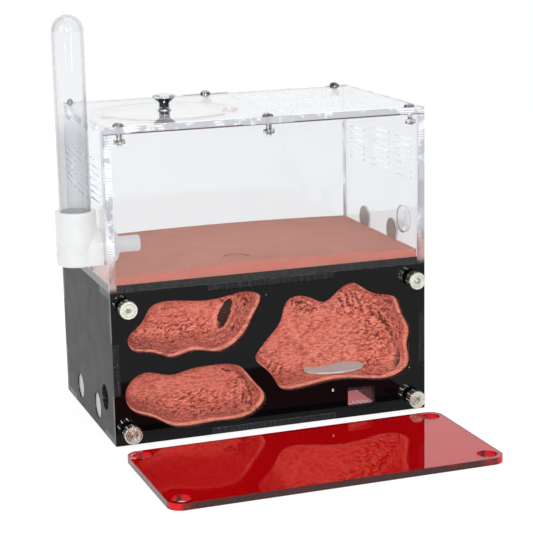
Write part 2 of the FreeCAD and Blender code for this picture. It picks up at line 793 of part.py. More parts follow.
# ---------------------------------------------------------------- arena
def arena_end_pane(name, level):
    """Front or rear pane: corner notches, lid tabs and T-slots for the bolts."""
    half_finger = S["corner_finger"] / 2
    middle = NEST_TOP + S["arena_tall"] / 2
    inner = HALF_WIDTH - GAUGE
    tab_in = S["lid_tab_from_middle"]
    tab_out = HALF_WIDTH - S["bolt_inset"] - S["lid_tab_from_bolt"]
    body = sheet_body(name, "XZ_Plane", level, [
        (-HALF_WIDTH, NEST_TOP), (HALF_WIDTH, NEST_TOP),
        (HALF_WIDTH, middle - half_finger), (inner, middle - half_finger),
        (inner, middle + half_finger), (HALF_WIDTH, middle + half_finger),
        (HALF_WIDTH, ARENA_TOP), (tab_out, ARENA_TOP), (tab_out, LID_TOP),
        (tab_in, LID_TOP), (tab_in, ARENA_TOP), (-tab_in, ARENA_TOP), (-tab_in, LID_TOP),
        (-tab_out, LID_TOP), (-tab_out, ARENA_TOP), (-HALF_WIDTH, ARENA_TOP),
        (-HALF_WIDTH, middle + half_finger), (-inner, middle + half_finger),
        (-inner, middle - half_finger), (-HALF_WIDTH, middle - half_finger),
    ], GAUGE)
    slots = sketch_on(body, "TSlots", "XZ_Plane", level)
    for x in bolt_columns():
        draw_t_slot(slots, x)
    pocket(body, slots)
    return keep(body, name)


def bolt_columns():
    outer = HALF_WIDTH - S["bolt_inset"]
    return (-outer, ZERO, outer)


def draw_t_slot(sketch, x):
    """A bolt slot down from the pane's top edge, crossed by the nut's slot."""
    half_slot = S["bolt_hole"] / 2
    half_nut = S["nut_flats"] / 2 + S["nut_slack"]
    nut_top = ARENA_TOP - S["nut_drop"] + S["nut_tall"] / 2 + S["nut_slack"]
    nut_foot = ARENA_TOP - S["nut_drop"] - S["nut_tall"] / 2 - S["nut_slack"]
    foot = ARENA_TOP - S["bolt_length"]
    top = ARENA_TOP + OVERCUT
    draw_polygon(sketch, [
        (x - half_slot, foot), (x + half_slot, foot), (x + half_slot, nut_foot),
        (x + half_nut, nut_foot), (x + half_nut, nut_top), (x + half_slot, nut_top),
        (x + half_slot, top), (x - half_slot, top), (x - half_slot, nut_top),
        (x - half_nut, nut_top), (x - half_nut, nut_foot), (x - half_slot, nut_foot),
    ])


def arena_side_pane(name, level):
    """Left or right pane: corner tabs, port, magnet holes and three vent columns."""
    half_finger = S["corner_finger"] / 2
    middle = NEST_TOP + S["arena_tall"] / 2
    front = FRONT_INSIDE
    body = sheet_body(name, "YZ_Plane", level, [
        (front, NEST_TOP), (-front, NEST_TOP), (-front, middle - half_finger),
        (HALF_DEPTH, middle - half_finger), (HALF_DEPTH, middle + half_finger),
        (-front, middle + half_finger), (-front, ARENA_TOP), (front, ARENA_TOP),
        (front, middle + half_finger), (-HALF_DEPTH, middle + half_finger),
        (-HALF_DEPTH, middle - half_finger), (front, middle - half_finger),
    ], GAUGE)
    drill(body, "YZ_Plane", level, side_holes(NEST_TOP))
    for y, length, rows in ((-S["vent_spacing"], S["vent_short"], S["vent_rows"]),
                            (ZERO, S["vent_long"], S["vent_rows"]),
                            (S["vent_spacing"], S["vent_short"], S["vent_rows"] - 1)):
        sketch = sketch_on(body, "Vents", "YZ_Plane", level)
        draw_rectangle(sketch, (y, NEST_TOP + S["vent_height"]), length, S["vent_slot"])
        row = pocket(body, sketch)
        repeat_row(body, row, sketch, "V_Axis", S["vent_pitch"], rows)
    return keep(body, name)


def arena_floor():
    """Black sheet between the panes, on the nest top."""
    side = HALF_WIDTH - GAUGE
    body = sheet_body("arena_floor", "XY_Plane", NEST_TOP,
                      [(-side, FRONT_INSIDE), (side, FRONT_INSIDE),
                       (side, -FRONT_INSIDE), (-side, -FRONT_INSIDE)], GAUGE)
    drill(body, "XY_Plane", NEST_TOP, [((SHAFT_X, SHAFT_Y), S["entrance_bore"])])
    return keep(body, "arena_floor")


def arena_slab():
    """Plaster floor with a low crown from left to right and the entrance hole."""
    side = HALF_WIDTH - GAUGE - S["plaster_gap"]
    foot = NEST_TOP + GAUGE
    edge = foot + S["slab_edge"]
    crown = edge + S["slab_crown"]
    end = -FRONT_INSIDE - S["plaster_gap"]
    body = new_body("arena_slab")
    sketch = sketch_on(body, "Section", "XZ_Plane", end)
    corners = [(-side, edge), (-side, foot), (side, foot), (side, edge)]
    spots = [FreeCAD.Vector(float(x), float(z), 0) for x, z in corners]
    for spot, following in zip(spots, spots[1:]):
        sketch.addGeometry(Part.LineSegment(spot, following))
    top = FreeCAD.Vector(0, float(crown), 0)
    arc = sketch.addGeometry(Part.Arc(spots[3], top, spots[0]))
    for line in (0, 1):
        sketch.addConstraint(Sketcher.Constraint("Coincident", line, 2, line + 1, 1))
    sketch.addConstraint(Sketcher.Constraint("Coincident", 2, 2, arc, 1))
    sketch.addConstraint(Sketcher.Constraint("Coincident", arc, 2, 0, 1))
    for line, corner in zip((0, 1, 2), corners):
        pin_point(sketch, line, 1, corner)
    pin_point(sketch, 2, 2, corners[3])
    radius = (side * side + S["slab_crown"] * S["slab_crown"]) / (S["slab_crown"] * 2)
    index = sketch.addConstraint(Sketcher.Constraint("Radius", arc, float(radius)))
    sketch.setExpression("Constraints[%d]" % index, radius.text)
    pad(body, sketch, end * 2)
    hole = sketch_on(body, "Entrance", "XY_Plane", foot)
    draw_circle(hole, (SHAFT_X, SHAFT_Y), S["shaft_bore"])
    pocket(body, hole)
    return keep(body, "arena_slab")


def entrance_plug():
    """Plaster disc that closes the way down to the nest."""
    plug = doc.addObject("Part::Cylinder", "entrance_plug")
    bind(plug, Radius=S["plug_diameter"] / 2, Height=S["plug_tall"])
    place(plug, SHAFT_X, SHAFT_Y, NEST_TOP + GAUGE)
    return keep(plug, "entrance_plug")


# ---------------------------------------------------------------- lid
def arena_lid():
    """Lid sheet: tab notches, bolt holes, the round opening and its vent slots."""
    tab_in = S["lid_tab_from_middle"]
    tab_out = HALF_WIDTH - S["bolt_inset"] - S["lid_tab_from_bolt"]
    front = -HALF_DEPTH
    notch = FRONT_INSIDE
    right_half = [(tab_in, front), (tab_in, notch), (tab_out, notch), (tab_out, front),
                  (HALF_WIDTH, front)]
    left_half = [(-x, y) for x, y in reversed(right_half)]
    rear = [(x, -y) for x, y in reversed(left_half + right_half)]
    body = sheet_body("arena_lid", "XY_Plane", ARENA_TOP, left_half + right_half + rear,
                      GAUGE)
    bolt_y = HALF_DEPTH - GAUGE / 2
    circles = [((x, y), S["bolt_hole"]) for x in bolt_columns() for y in (-bolt_y, bolt_y)]
    opening = S["round_lid"] + S["round_lid_clearance"] * 2
    circles.append(((ROUND_X, ROUND_Y), opening))
    drill(body, "XY_Plane", ARENA_TOP, circles)
    sketch = sketch_on(body, "Vents", "XY_Plane", ARENA_TOP)
    x = HALF_WIDTH - S["lid_vent_from_right"]
    for step, length in ((-1, S["vent_short"]), (0, S["vent_long"]), (1, S["vent_short"])):
        draw_rectangle(sketch, (x, S["vent_spacing"] * step), S["vent_slot"], length)
    row = pocket(body, sketch)
    pattern = repeat_row(body, row, sketch, "H_Axis", S["vent_pitch"],
                         S["lid_vent_count"])
    pattern.Reversed = True
    return keep(body, "arena_lid")


def turned(name, x, y, z, profile):
    """A turned sub-part standing upright at a place."""
    body = revolve(name, profile)
    place(body, x, y, z)
    return keep(body, name)


def lid_seat_ring():
    outer = S["ring_outside"] / 2
    inner = S["ring_inside"] / 2
    thick = S["ring_gauge"]
    return turned("lid_seat_ring", ROUND_X, ROUND_Y, ARENA_TOP - thick,
                  [(inner, ZERO), (outer, ZERO), (outer, thick), (inner, thick)])


def round_lid():
    outer = S["round_lid"] / 2
    inner = S["knob_screw"] / 2 + S["knob_screw_gap"]
    return turned("round_lid", ROUND_X, ROUND_Y, ARENA_TOP,
                  [(inner, ZERO), (outer, ZERO), (outer, GAUGE), (inner, GAUGE)])


# The knob's outside from its foot up: named radius, extra radius, share of its height.
KNOB_OUTSIDE = (
    ("foot", 0.0, 0.0), ("foot", 0.0, 0.06), ("neck", 0.3, 0.14), ("neck", 0.0, 0.20),
    ("neck", 0.25, 0.23), ("neck", 0.0, 0.27), ("neck", 0.25, 0.31), ("neck", 0.0, 0.35),
    ("neck", 0.25, 0.39), ("neck", 0.0, 0.43), ("neck", 0.2, 0.50), ("cap", -0.5, 0.76),
    ("cap", 0.0, 0.80), ("cap", 0.0, 0.93), ("cap", -0.6, 1.0),
)
KNOB_BORE_SHARE = 0.62           # of its height


def lid_knob():
    """Turned knob: flared foot, ringed neck and a cone under a flat-topped cap."""
    radii = {name: S["knob_" + name] / 2 for name in ("foot", "neck", "cap")}
    tall = S["knob_tall"]
    bore = S["knob_screw"] / 2
    outside = [(radii[name] + extra, tall * up) for name, extra, up in KNOB_OUTSIDE]
    return turned("lid_knob", ROUND_X, ROUND_Y, LID_TOP, [(bore, ZERO)] + outside + [
        (ZERO, tall), (ZERO, tall * KNOB_BORE_SHARE), (bore, tall * KNOB_BORE_SHARE)])


def knob_screw():
    """Screw from below that holds the knob to the round lid."""
    shank = S["knob_screw"] / 2
    head = S["knob_screw_head"] / 2
    head_tall = S["knob_screw_head_tall"]
    reach = S["knob_screw_length"]
    underside = [(head * across, -head_tall * up) for across, up in reversed(BUTTON_HEAD)]
    return turned("knob_screw", ROUND_X, ROUND_Y, ARENA_TOP,
                  underside + [(shank, ZERO), (shank, reach), (ZERO, reach)])


# A button head's outline: shares of its radius and of its height.
BUTTON_HEAD = ((1.0, 0.0), (1.0, 0.35), (0.82, 0.75), (0.55, 1.0), (0.0, 1.0))


def lid_bolts():
    """Six button-head bolts down through the lid into the panes' T-slots."""
    head = S["bolt_head"] / 2
    head_tall = S["bolt_head_tall"]
    shank = S["bolt_shank"] / 2
    length = S["bolt_length"] + GAUGE - S["bolt_end_gap"]
    bolt_y = HALF_DEPTH - GAUGE / 2
    members = []
    for x in bolt_columns():
        for y in (-bolt_y, bolt_y):
            body = revolve("bolt", [
                (ZERO, -length), (shank, -length), (shank, ZERO),
            ] + [(head * across, head_tall * up) for across, up in BUTTON_HEAD])
            key = sketch_on(body, "Key", "XY_Plane", head_tall)
            draw_hexagon(key, S["hex_key"])
            pocket(body, key, S["hex_depth"], against_normal=True)
            place(body, x, y, LID_TOP)
            members.append(body)
    return group("lid_bolts", members)


def draw_hexagon(sketch, flats):
    """A hexagon about the sketch's origin, by its width across flats."""
    corners = []
    for step in range(6):
        angle = math.radians(60 * step + 30)
        corners.append((flats * (math.cos(angle) / math.sqrt(3)),
                        flats * (math.sin(angle) / math.sqrt(3))))
    draw_polygon(sketch, corners)


def lid_nuts():
    """Hex nuts in the panes' T-slots, a flat towards each end of the slot."""
    bolt_y = HALF_DEPTH - GAUGE / 2
    members = []
    for x in bolt_columns():
        for y in (-bolt_y, bolt_y):
            body = new_body("nut")
            sketch = sketch_on(body, "Hexagon", "XY_Plane")
            draw_hexagon(sketch, S["nut_flats"])
            draw_circle(sketch, (ZERO, ZERO), S["bolt_shank"])
            pad(body, sketch, S["nut_tall"])
            place(body, x, y, ARENA_TOP - S["nut_drop"] - S["nut_tall"] / 2)
            members.append(body)
    return group("lid_nuts", members)


# ---------------------------------------------------------------- drinker
def boss_face(x, y, port_z, foot):
    """The boss's arched outline, with the rounded foot of the column."""
    half = float(S["boss_width"]) / 2
    rounding = float(S["foot_round"])
    middle = rounding * (1 - math.sqrt(0.5))

    def spot(across, up):
        return FreeCAD.Vector(x, y + across, up)

    outline = [
        Part.LineSegment(spot(rounding - half, foot), spot(half - rounding, foot)),
        Part.Arc(spot(half - rounding, foot), spot(half - middle, foot + middle),
                 spot(half, foot + rounding)),
        Part.LineSegment(spot(half, foot + rounding), spot(half, port_z)),
        Part.Arc(spot(half, port_z), spot(0, port_z + half), spot(-half, port_z)),
        Part.LineSegment(spot(-half, port_z), spot(-half, foot + rounding)),
        Part.Arc(spot(-half, foot + rounding), spot(middle - half, foot + middle),
                 spot(rounding - half, foot)),
    ]
    return Part.Face(Part.Wire([line.toShape() for line in outline]))


def connector_solid(x, y, port_z, foot, thread_end):
    """Upright column with a rounded foot, arched boss, spigot and thread."""
    wall_x = -float(HALF_WIDTH)
    column = Part.makeCylinder(float(S["connector_diameter"]) / 2, float(S["connector_tall"]),
                               FreeCAD.Vector(x, y, foot))
    foot_rim = [edge for edge in column.Edges
                if len(edge.Vertexes) == 1 and edge.BoundBox.ZMax < port_z]
    column = column.makeFillet(float(S["foot_round"]), foot_rim)
    boss_start = x + float(S["boss_start"])
    boss = boss_face(boss_start, y, port_z, foot).extrude(
        FreeCAD.Vector(wall_x - boss_start, 0, 0))
    spigot = rod((wall_x - OVERCUT, y, port_z), (wall_x + float(GAUGE), y, port_z),
                 S["spigot_diameter"])
    thread = rod((wall_x, y, port_z), (thread_end, y, port_z), S["thread_diameter"])
    return column.multiFuse([boss, spigot, thread]).removeSplitter()


def connector_bores(x, y, port_z, foot, thread_end):
    """Tube socket, the well below it, the bevelled side hole and the passage."""
    top = foot + float(S["connector_tall"])
    depth = float(S["socket_depth"])
    socket = float(S["tube_diameter"]) / 2 + float(S["tube_clearance"])
    well_foot = foot + float(S["well_floor"])
    outside = x - float(S["connector_diameter"]) / 2 - OVERCUT
    side = float(S["side_bore"]) / 2
    flare = float(S["side_bevel"]) + OVERCUT
    grip = thread_end - float(S["pipe_grip"])
    past = thread_end + OVERCUT
    return [
        Part.makeCylinder(socket, depth + OVERCUT, FreeCAD.Vector(x, y, top - depth)),
        Part.makeCylinder(float(S["well_bore"]) / 2, top - well_foot,
                          FreeCAD.Vector(x, y, well_foot)),
        rod((outside, y, port_z), (x, y, port_z), S["side_bore"]),
        Part.makeCone(side + flare, side, flare, FreeCAD.Vector(outside, y, port_z), X_AXIS),
        rod((x, y, port_z), (past, y, port_z), S["pipe_inside"]),
        rod((grip, y, port_z), (past, y, port_z), S["pipe_outside"]),
    ]


def tube_connector():
    """Printed elbow that carries the test tube and goes through the left port."""
    thread_end = float(GAUGE) - float(HALF_WIDTH) + float(S["thread_length"])
    where = (float(TUBE_X), float(PORT_Y), float(ARENA_PORT_Z), float(CONNECTOR_FOOT),
             thread_end)
    bores = connector_bores(*where)
    connector = doc.addObject("Part::Feature", "tube_connector")
    connector.Shape = connector_solid(*where).cut(bores[0].multiFuse(bores[1:]))
    return keep(connector, "tube_connector")


def on_port_axis(name, start_x, profile):
    """A turned sub-part on the arena port's axis, its own +Z pointing to +X."""
    body = revolve(name, profile)
    place(body, start_x, PORT_Y, ARENA_PORT_Z, Y_AXIS, 90)
    return keep(body, name)


def flange_nut():
    outer = S["flange_diameter"] / 2
    inner = S["thread_diameter"] / 2
    pipe = S["pipe_outside"] / 2 + S["pipe_slack"]
    length = S["flange_length"]
    thread = S["thread_length"]
    bevel = S["flange_bevel"]
    return on_port_axis("flange_nut", GAUGE - HALF_WIDTH, [
        (inner, ZERO), (outer, ZERO), (outer, length - bevel), (outer - bevel, length),
        (pipe, length), (pipe, thread), (inner, thread),
    ])


def connector_pipe():
    outer = S["pipe_outside"] / 2
    inner = S["pipe_inside"] / 2
    start = GAUGE - HALF_WIDTH + S["thread_length"] - S["pipe_grip"]
    return on_port_axis("connector_pipe", start, [
        (inner, ZERO), (outer, ZERO), (outer, S["pipe_length"]),
        (inner, S["pipe_length"]),
    ])


def port_bushing():
    """Clear flanged bushing in the right pane's port."""
    flange = S["bushing_flange"] / 2
    neck = S["port_bore"] / 2 - S["bushing_slack"]
    bore = S["bushing_bore"] / 2
    thick = S["bushing_flange_thick"]
    return on_port_axis("port_bushing", HALF_WIDTH - GAUGE - thick, [
        (bore, ZERO), (flange, ZERO), (flange, thick), (neck, thick),
        (neck, thick + GAUGE), (bore, thick + GAUGE),
    ])


def test_tube():
    """Glass tube, mouth down in the connector, with a round end on top."""
    outer = S["tube_diameter"] / 2
    inner = outer - S["tube_wall"]
    length = S["tube_length"]
    body = new_body("test_tube")
    sketch = sketch_on(body, "Profile", "XZ_Plane")
    spring = length - outer
    spots = {
        "inner_foot": (inner, ZERO), "outer_foot": (outer, ZERO),
        "outer_spring": (outer, spring), "outer_top": (ZERO, length),
        "inner_top": (ZERO, spring + inner), "inner_spring": (inner, spring),
    }
    vectors = {key: FreeCAD.Vector(float(r), float(z), 0) for key, (r, z) in spots.items()}
    middle = FreeCAD.Vector(0, float(spring), 0)
    quarter = math.pi / 2
    outer_circle = Part.Circle(middle, Z_AXIS, float(outer))
    inner_circle = Part.Circle(middle, Z_AXIS, float(inner))
    sketch.addGeometry(Part.LineSegment(vectors["inner_foot"], vectors["outer_foot"]))
    sketch.addGeometry(Part.LineSegment(vectors["outer_foot"], vectors["outer_spring"]))
    sketch.addGeometry(Part.ArcOfCircle(outer_circle, 0, quarter))
    sketch.addGeometry(Part.LineSegment(vectors["outer_top"], vectors["inner_top"]))
    sketch.addGeometry(Part.ArcOfCircle(inner_circle, 0, quarter))
    sketch.addGeometry(Part.LineSegment(vectors["inner_spring"], vectors["inner_foot"]))
    for one, one_end, two, two_end in ((0, 2, 1, 1), (1, 2, 2, 1), (2, 2, 3, 1),
                                       (3, 2, 4, 2), (4, 1, 5, 1), (5, 2, 0, 1)):
        sketch.addConstraint(Sketcher.Constraint("Coincident", one, one_end, two, two_end))
    pin_point(sketch, 0, 1, spots["inner_foot"])
    pin_point(sketch, 0, 2, spots["outer_foot"])
    pin_point(sketch, 1, 2, spots["outer_spring"])
    pin_point(sketch, 3, 1, spots["outer_top"])
    pin_point(sketch, 3, 2, spots["inner_top"])
    pin_point(sketch, 5, 1, spots["inner_spring"])
    for arc, radius in ((2, outer), (4, inner)):
        index = sketch.addConstraint(Sketcher.Constraint("Radius", arc, float(radius)))
        sketch.setExpression("Constraints[%d]" % index, radius.text)
    turn = body.newObject("PartDesign::Revolution", "Turned")
    turn.Profile = sketch
    turn.ReferenceAxis = (sketch, ["V_Axis"])
    turn.Angle = 360
    place(body, TUBE_X, PORT_Y, CONNECTOR_TOP - S["socket_depth"])
    return keep(body, "test_tube")


# ---------------------------------------------------------------- cover
def red_cover():
    """Loose red sheet the size of the nest front, lying in front of the nest."""
    body = new_body("red_cover")
    sketch = sketch_on(body, "Outline", "XY_Plane")
    half_tall = NEST_TOP / 2
    draw_polygon(sketch, [(-HALF_WIDTH, -half_tall), (HALF_WIDTH, -half_tall),
                          (HALF_WIDTH, half_tall), (-HALF_WIDTH, half_tall)])
    block = pad(body, sketch, GAUGE)
    doc.recompute()
    upright = [index for index, edge in enumerate(block.Shape.Edges, start=1)
               if edge.BoundBox.ZLength > float(GAUGE) / 2]
    fillet = body.newObject("PartDesign::Fillet", "Corners")
    fillet.Base = (block, ["Edge%d" % index for index in upright])
    bind(fillet, Radius=S["cover_corner"])
    inset = S["screw_inset"]
    drill(body, "XY_Plane", ZERO,
          [((x, y), S["cover_hole"]) for x in (inset - HALF_WIDTH, HALF_WIDTH - inset)
           for y in (inset - half_tall, half_tall - inset)])
    turn = float(S["cover_turn"])
    place(body, S["cover_shift"], -(HALF_DEPTH + S["cover_from_front"]), None,
          Z_AXIS, turn)
    return keep(body, "red_cover")


def build():
    """Make every sub-part, from the nest floor upwards."""
    level_sheet("nest_floor", ZERO, [])
    level_sheet("nest_top", NEST_TOP - GAUGE, [((SHAFT_X, SHAFT_Y), S["entrance_bore"])])
    nest_side_wall("nest_left_wall", -HALF_WIDTH)
    nest_side_wall("nest_right_wall", HALF_WIDTH - GAUGE)
    keep(sheet_body("nest_rear_wall", "XZ_Plane", HALF_DEPTH, upright_outline(ZERO),
                    GAUGE), "nest_rear_wall")
    magnets("nest_magnets", ZERO)
    nest_plaster()
    water_tray()
    moisture_mesh()
    corner_blocks()
    thread_inserts()
    nest_front()
    nest_window()
    for name, corner in SCREW_CORNERS.items():
        thumb_screw("thumb_screw_" + name, corner)
    arena_floor()
    arena_slab()
    entrance_plug()
    arena_end_pane("arena_front_pane", FRONT_INSIDE)
    arena_end_pane("arena_rear_pane", HALF_DEPTH)
    arena_side_pane("arena_left_pane", -HALF_WIDTH)
    arena_side_pane("arena_right_pane", HALF_WIDTH - GAUGE)
    magnets("arena_magnets", NEST_TOP)
    arena_lid()
    lid_seat_ring()
    lid_bolts()
    lid_nuts()
    round_lid()
    lid_knob()
    knob_screw()
    tube_connector()
    flange_nut()
    connector_pipe()
    port_bushing()
    test_tube()
    red_cover()


def check_document():
    """Stop if any object failed or any sub-part has no valid shape."""
    for item in doc.Objects:
        if any(word in state for state in item.State for word in ("Invalid", "Error")):
            raise RuntimeError("%s (%s) failed: %s" % (item.Name, item.Label, item.State))
    for item in parts:
        if item.Shape.isNull() or not item.Shape.isValid() or not item.Shape.Solids:
            raise RuntimeError("%s has no valid solid" % item.Label)


build()
doc.recompute()
check_document()
os.makedirs("parts", exist_ok=True)
for part in parts:
    part.Shape.exportStep("parts/%s.step" % part.Label)
    print("%-28s %2d solids %10.1f mm3" % (part.Label, len(part.Shape.Solids),
                                           part.Shape.Volume))
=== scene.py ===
"""Looks of the ant habitat: a hand-carved plaster block, a woven mesh, sheet, metal and glass
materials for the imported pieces, a pale studio and the camera. All lengths are metres.
"""

import math

import bmesh
import bpy
import numpy as np
from mathutils import Matrix, Vector, noise


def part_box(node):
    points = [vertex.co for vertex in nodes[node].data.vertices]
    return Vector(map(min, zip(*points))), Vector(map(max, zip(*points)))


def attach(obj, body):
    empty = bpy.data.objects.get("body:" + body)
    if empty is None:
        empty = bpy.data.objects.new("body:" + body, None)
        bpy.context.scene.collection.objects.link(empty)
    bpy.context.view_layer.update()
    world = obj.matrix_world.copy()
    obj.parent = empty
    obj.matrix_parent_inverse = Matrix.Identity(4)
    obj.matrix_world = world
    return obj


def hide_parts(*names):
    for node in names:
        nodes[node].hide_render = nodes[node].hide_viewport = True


MM = 0.001
CAMERA_PLACE = Vector((-0.2458, -0.7569, 0.2455))
CAMERA_AZIMUTH = math.radians(-18.94)
CAMERA_ELEVATION = math.radians(12.771)
CAMERA_ROLL = math.radians(-1.212)
CAMERA_LENS = 115.63             # millimetres
SENSOR_WIDTH = 36                # millimetres
MASK_FACE_Y = -48 * MM           # outer face of the black mask
MASK_BACK_Y = -45 * MM
MASK_HALF_WIDTH = 75.0           # millimetres, like the carving plans below
PLASTER_FACE_Y = -42.8 * MM      # plaster surface behind the window

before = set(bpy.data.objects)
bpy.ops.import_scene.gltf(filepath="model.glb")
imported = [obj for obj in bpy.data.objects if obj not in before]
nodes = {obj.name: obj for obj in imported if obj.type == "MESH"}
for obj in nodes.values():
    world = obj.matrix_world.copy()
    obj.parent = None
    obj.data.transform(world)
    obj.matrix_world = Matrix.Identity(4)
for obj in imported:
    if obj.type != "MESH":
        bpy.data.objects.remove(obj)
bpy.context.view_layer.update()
PANE_INSIDE = {"X": -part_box("arena_left_pane")[1].x, "Y": -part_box("arena_front_pane")[1].y}
LID_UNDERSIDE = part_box("arena_lid")[0].z
OUTER_SKIN = 2 * MM              # from a pane's inside to where its outer face begins
GLUE_LINE = 0.3 * MM             # half the height of the line between a pane and the lid
EDGE_FACING, FACE_FACING = 0.25, 0.97        # below is a cut edge, above is a sheet's face
NEST_BORDER = {"side": 69 * MM, "foot": 5 * MM, "head": 68 * MM}
CHIPPED_LEFT = (-30 * MM, 20 * MM)           # from here on the edges are less chipped
MASK_SPECK = (-3.0 * MM, MASK_FACE_Y, 62.6 * MM)
FILLER_HOLE = (28.9 * MM, MASK_FACE_Y, 14.0 * MM)
SLAB_CHIP = (-37.5 * MM, -41.4 * MM, 78.6 * MM)
TANK_FRONT_Y = -37.5 * MM        # beads of air lie on the tank's floor before this
# Heights over which a clear piece changes its colour: painted pink beside the slab for its
# reflection, painted dark where it stands on the nest, painted grey low on the tube.
BESIDE_SLAB = (80 * MM, 89 * MM)
PANE_FOOT = (70.5 * MM, 72.5 * MM)
GREY_BELOW_HEIGHTS = (136 * MM, 148 * MM)
# Pitches of the fine lines in the materials.
EDGE_LINES = 1.15 * MM
LATHE_RINGS = 0.42 * MM
WIRES = 1.05 * MM
CROSS_WIRES = 2.6 * MM
RESIN_LAYERS = 0.3 * MM
WIRE_TURN = math.radians(12)
CARVED_FIELDS = ("crevice_shade", "ridge_highlight", "hollow", "lip", "rough")   # held by the plaster's mesh


# ------------------------------------------------------------------------------ materials
class Surface:
    """A Principled material with short calls for the nodes that feed it."""

    def __init__(self, name, **constants):
        self.material = bpy.data.materials.new(name)
        self.material.use_nodes = True
        self.tree = self.material.node_tree
        self.shader = self.tree.nodes["Principled BSDF"]
        for key, value in constants.items():
            self.shader.inputs[key.replace("_", " ")].default_value = value

    def node(self, kind, settings=None, **inputs):
        made = self.tree.nodes.new("ShaderNode" + kind)
        for key, value in (settings or {}).items():
            setattr(made, key, value)
        for key, value in inputs.items():
            self.feed(made.inputs[key.replace("_", " ")], value)
        return made

    def feed(self, socket, value):
        if isinstance(value, bpy.types.NodeSocket):
            self.tree.links.new(value, socket)
        else:
            socket.default_value = value

    def set(self, key, value):
        self.feed(self.shader.inputs[key], value)

    def place(self):
        """Object coordinates, which are the part's own frame."""
        return self.node("TexCoord").outputs["Object"]

    def stretched(self, scale, turn=(0, 0, 0)):
        return self.node("Mapping", Vector=self.place(), Scale=scale,
                         Rotation=turn).outputs["Vector"]

    def noise(self, scale, detail=4.0, roughness=0.55, vector=None):
        return self.node("TexNoise", Vector=vector or self.place(), Scale=scale,
                         Detail=detail, Roughness=roughness).outputs["Fac"]

    def cells(self, scale):
        return self.node("TexVoronoi", Vector=self.place(), Scale=scale).outputs["Distance"]

    def waves(self, value, pitch):
        """A sine wave along a value, from -1 to 1."""
        return self.math("SINE", self.times(value, 2 * math.pi / pitch))

    def times(self, a, b):
        return self.math("MULTIPLY", a, b)

    def math(self, operation, a, b=0.0):
        made = self.node("Math", {"operation": operation})
        self.feed(made.inputs[0], a)
        self.feed(made.inputs[1], b)
        return made.outputs[0]

    def span(self, value, low, high, out_low=0.0, out_high=1.0):
        made = self.node("MapRange", Value=value)
        for key, number in (("From Min", low), ("From Max", high), ("To Min", out_low),
                            ("To Max", out_high)):
            made.inputs[key].default_value = number
        return made.outputs["Result"]

    def blend(self, share, first, second):
        made = self.node("Mix", {"data_type": "RGBA"})
        self.feed(made.inputs["Factor"], share)
        self.feed(made.inputs[6], first)
        self.feed(made.inputs[7], second)
        return made.outputs[2]

    def mix_value(self, share, first, second):
        made = self.node("Mix", {"data_type": "FLOAT"})
        self.feed(made.inputs["Factor"], share)
        self.feed(made.inputs[2], first)
        self.feed(made.inputs[3], second)
        return made.outputs[0]

    def axis_part(self, vector, axis):
        return self.node("SeparateXYZ", Vector=vector).outputs[axis]

    def normal(self):
        return self.node("NewGeometry").outputs["True Normal"]

    def facing(self, axis):
        """How squarely the surface faces along an axis, 0 to 1."""
        return self.math("ABSOLUTE", self.axis_part(self.normal(), axis))

    def beyond(self, place, axis, distance):
        """1 farther than a distance from the part's middle, either way along an axis."""
        return self.math("GREATER_THAN", self.math("ABSOLUTE", place.outputs[axis]), distance)

    def cut_edges(self, axis):
        """1 on the cut edges of a sheet whose thickness runs along the axis."""
        return self.math("LESS_THAN", self.facing(axis), EDGE_FACING)

    def chamfer(self, axis):
        """1 on the fine bevels between a sheet's faces and its cut edges."""
        along = self.facing(axis)
        return self.times(self.math("GREATER_THAN", along, EDGE_FACING),
                          self.math("LESS_THAN", along, FACE_FACING))

    def covered_edges(self, axis):
        """1 where an upright pane's outer face covers the cut edge of the sheet behind it."""
        if axis == "Z":
            return 0.0
        across = "X" if axis == "Y" else "Y"
        place = self.node("SeparateXYZ", Vector=self.place())
        outside = self.beyond(place, axis, PANE_INSIDE[axis] + OUTER_SKIN)
        side = self.beyond(place, across, PANE_INSIDE[across])
        head = self.math("GREATER_THAN", place.outputs["Z"], LID_UNDERSIDE)
        return self.times(self.math("MAXIMUM", side, head), outside)

    def outermost(self):
        """1 on the arena's outer faces and on the edges that lie in them."""
        place = self.node("SeparateXYZ", Vector=self.place())
        sides = [self.beyond(place, axis, PANE_INSIDE[axis] + OUTER_SKIN)
                 for axis in ("X", "Y")]
        return self.math("MAXIMUM", *sides)

    def glue_line(self, axis):
        """1 along the thin dark line where the front and rear panes meet the lid."""
        if axis != "Y":
            return 0.0
        rise = self.math("SUBTRACT", self.axis_part(self.place(), "Z"), LID_UNDERSIDE)
        return self.math("LESS_THAN", self.math("ABSOLUTE", rise), GLUE_LINE)

    def near_border(self):
        """1 along the nest's outer edges, where the sheets meet."""
        place = self.node("SeparateXYZ", Vector=self.place())
        side = self.beyond(place, "X", NEST_BORDER["side"])
        foot = self.math("LESS_THAN", place.outputs["Z"], NEST_BORDER["foot"])
        head = self.math("GREATER_THAN", place.outputs["Z"], NEST_BORDER["head"])
        return self.math("MAXIMUM", side, self.math("MAXIMUM", foot, head))

    def far_left(self):
        """1 at the nest's left end, fading to 0.2 past its middle."""
        return self.span(self.axis_part(self.place(), "X"), *CHIPPED_LEFT, 1.0, 0.2)

    def spot(self, centre, radius):
        """1 inside a small ball about a point of the part."""
        offset = self.node("VectorMath", {"operation": "DISTANCE"})
        self.feed(offset.inputs[0], self.place())
        offset.inputs[1].default_value = centre
        return self.math("LESS_THAN", offset.outputs["Value"], radius)

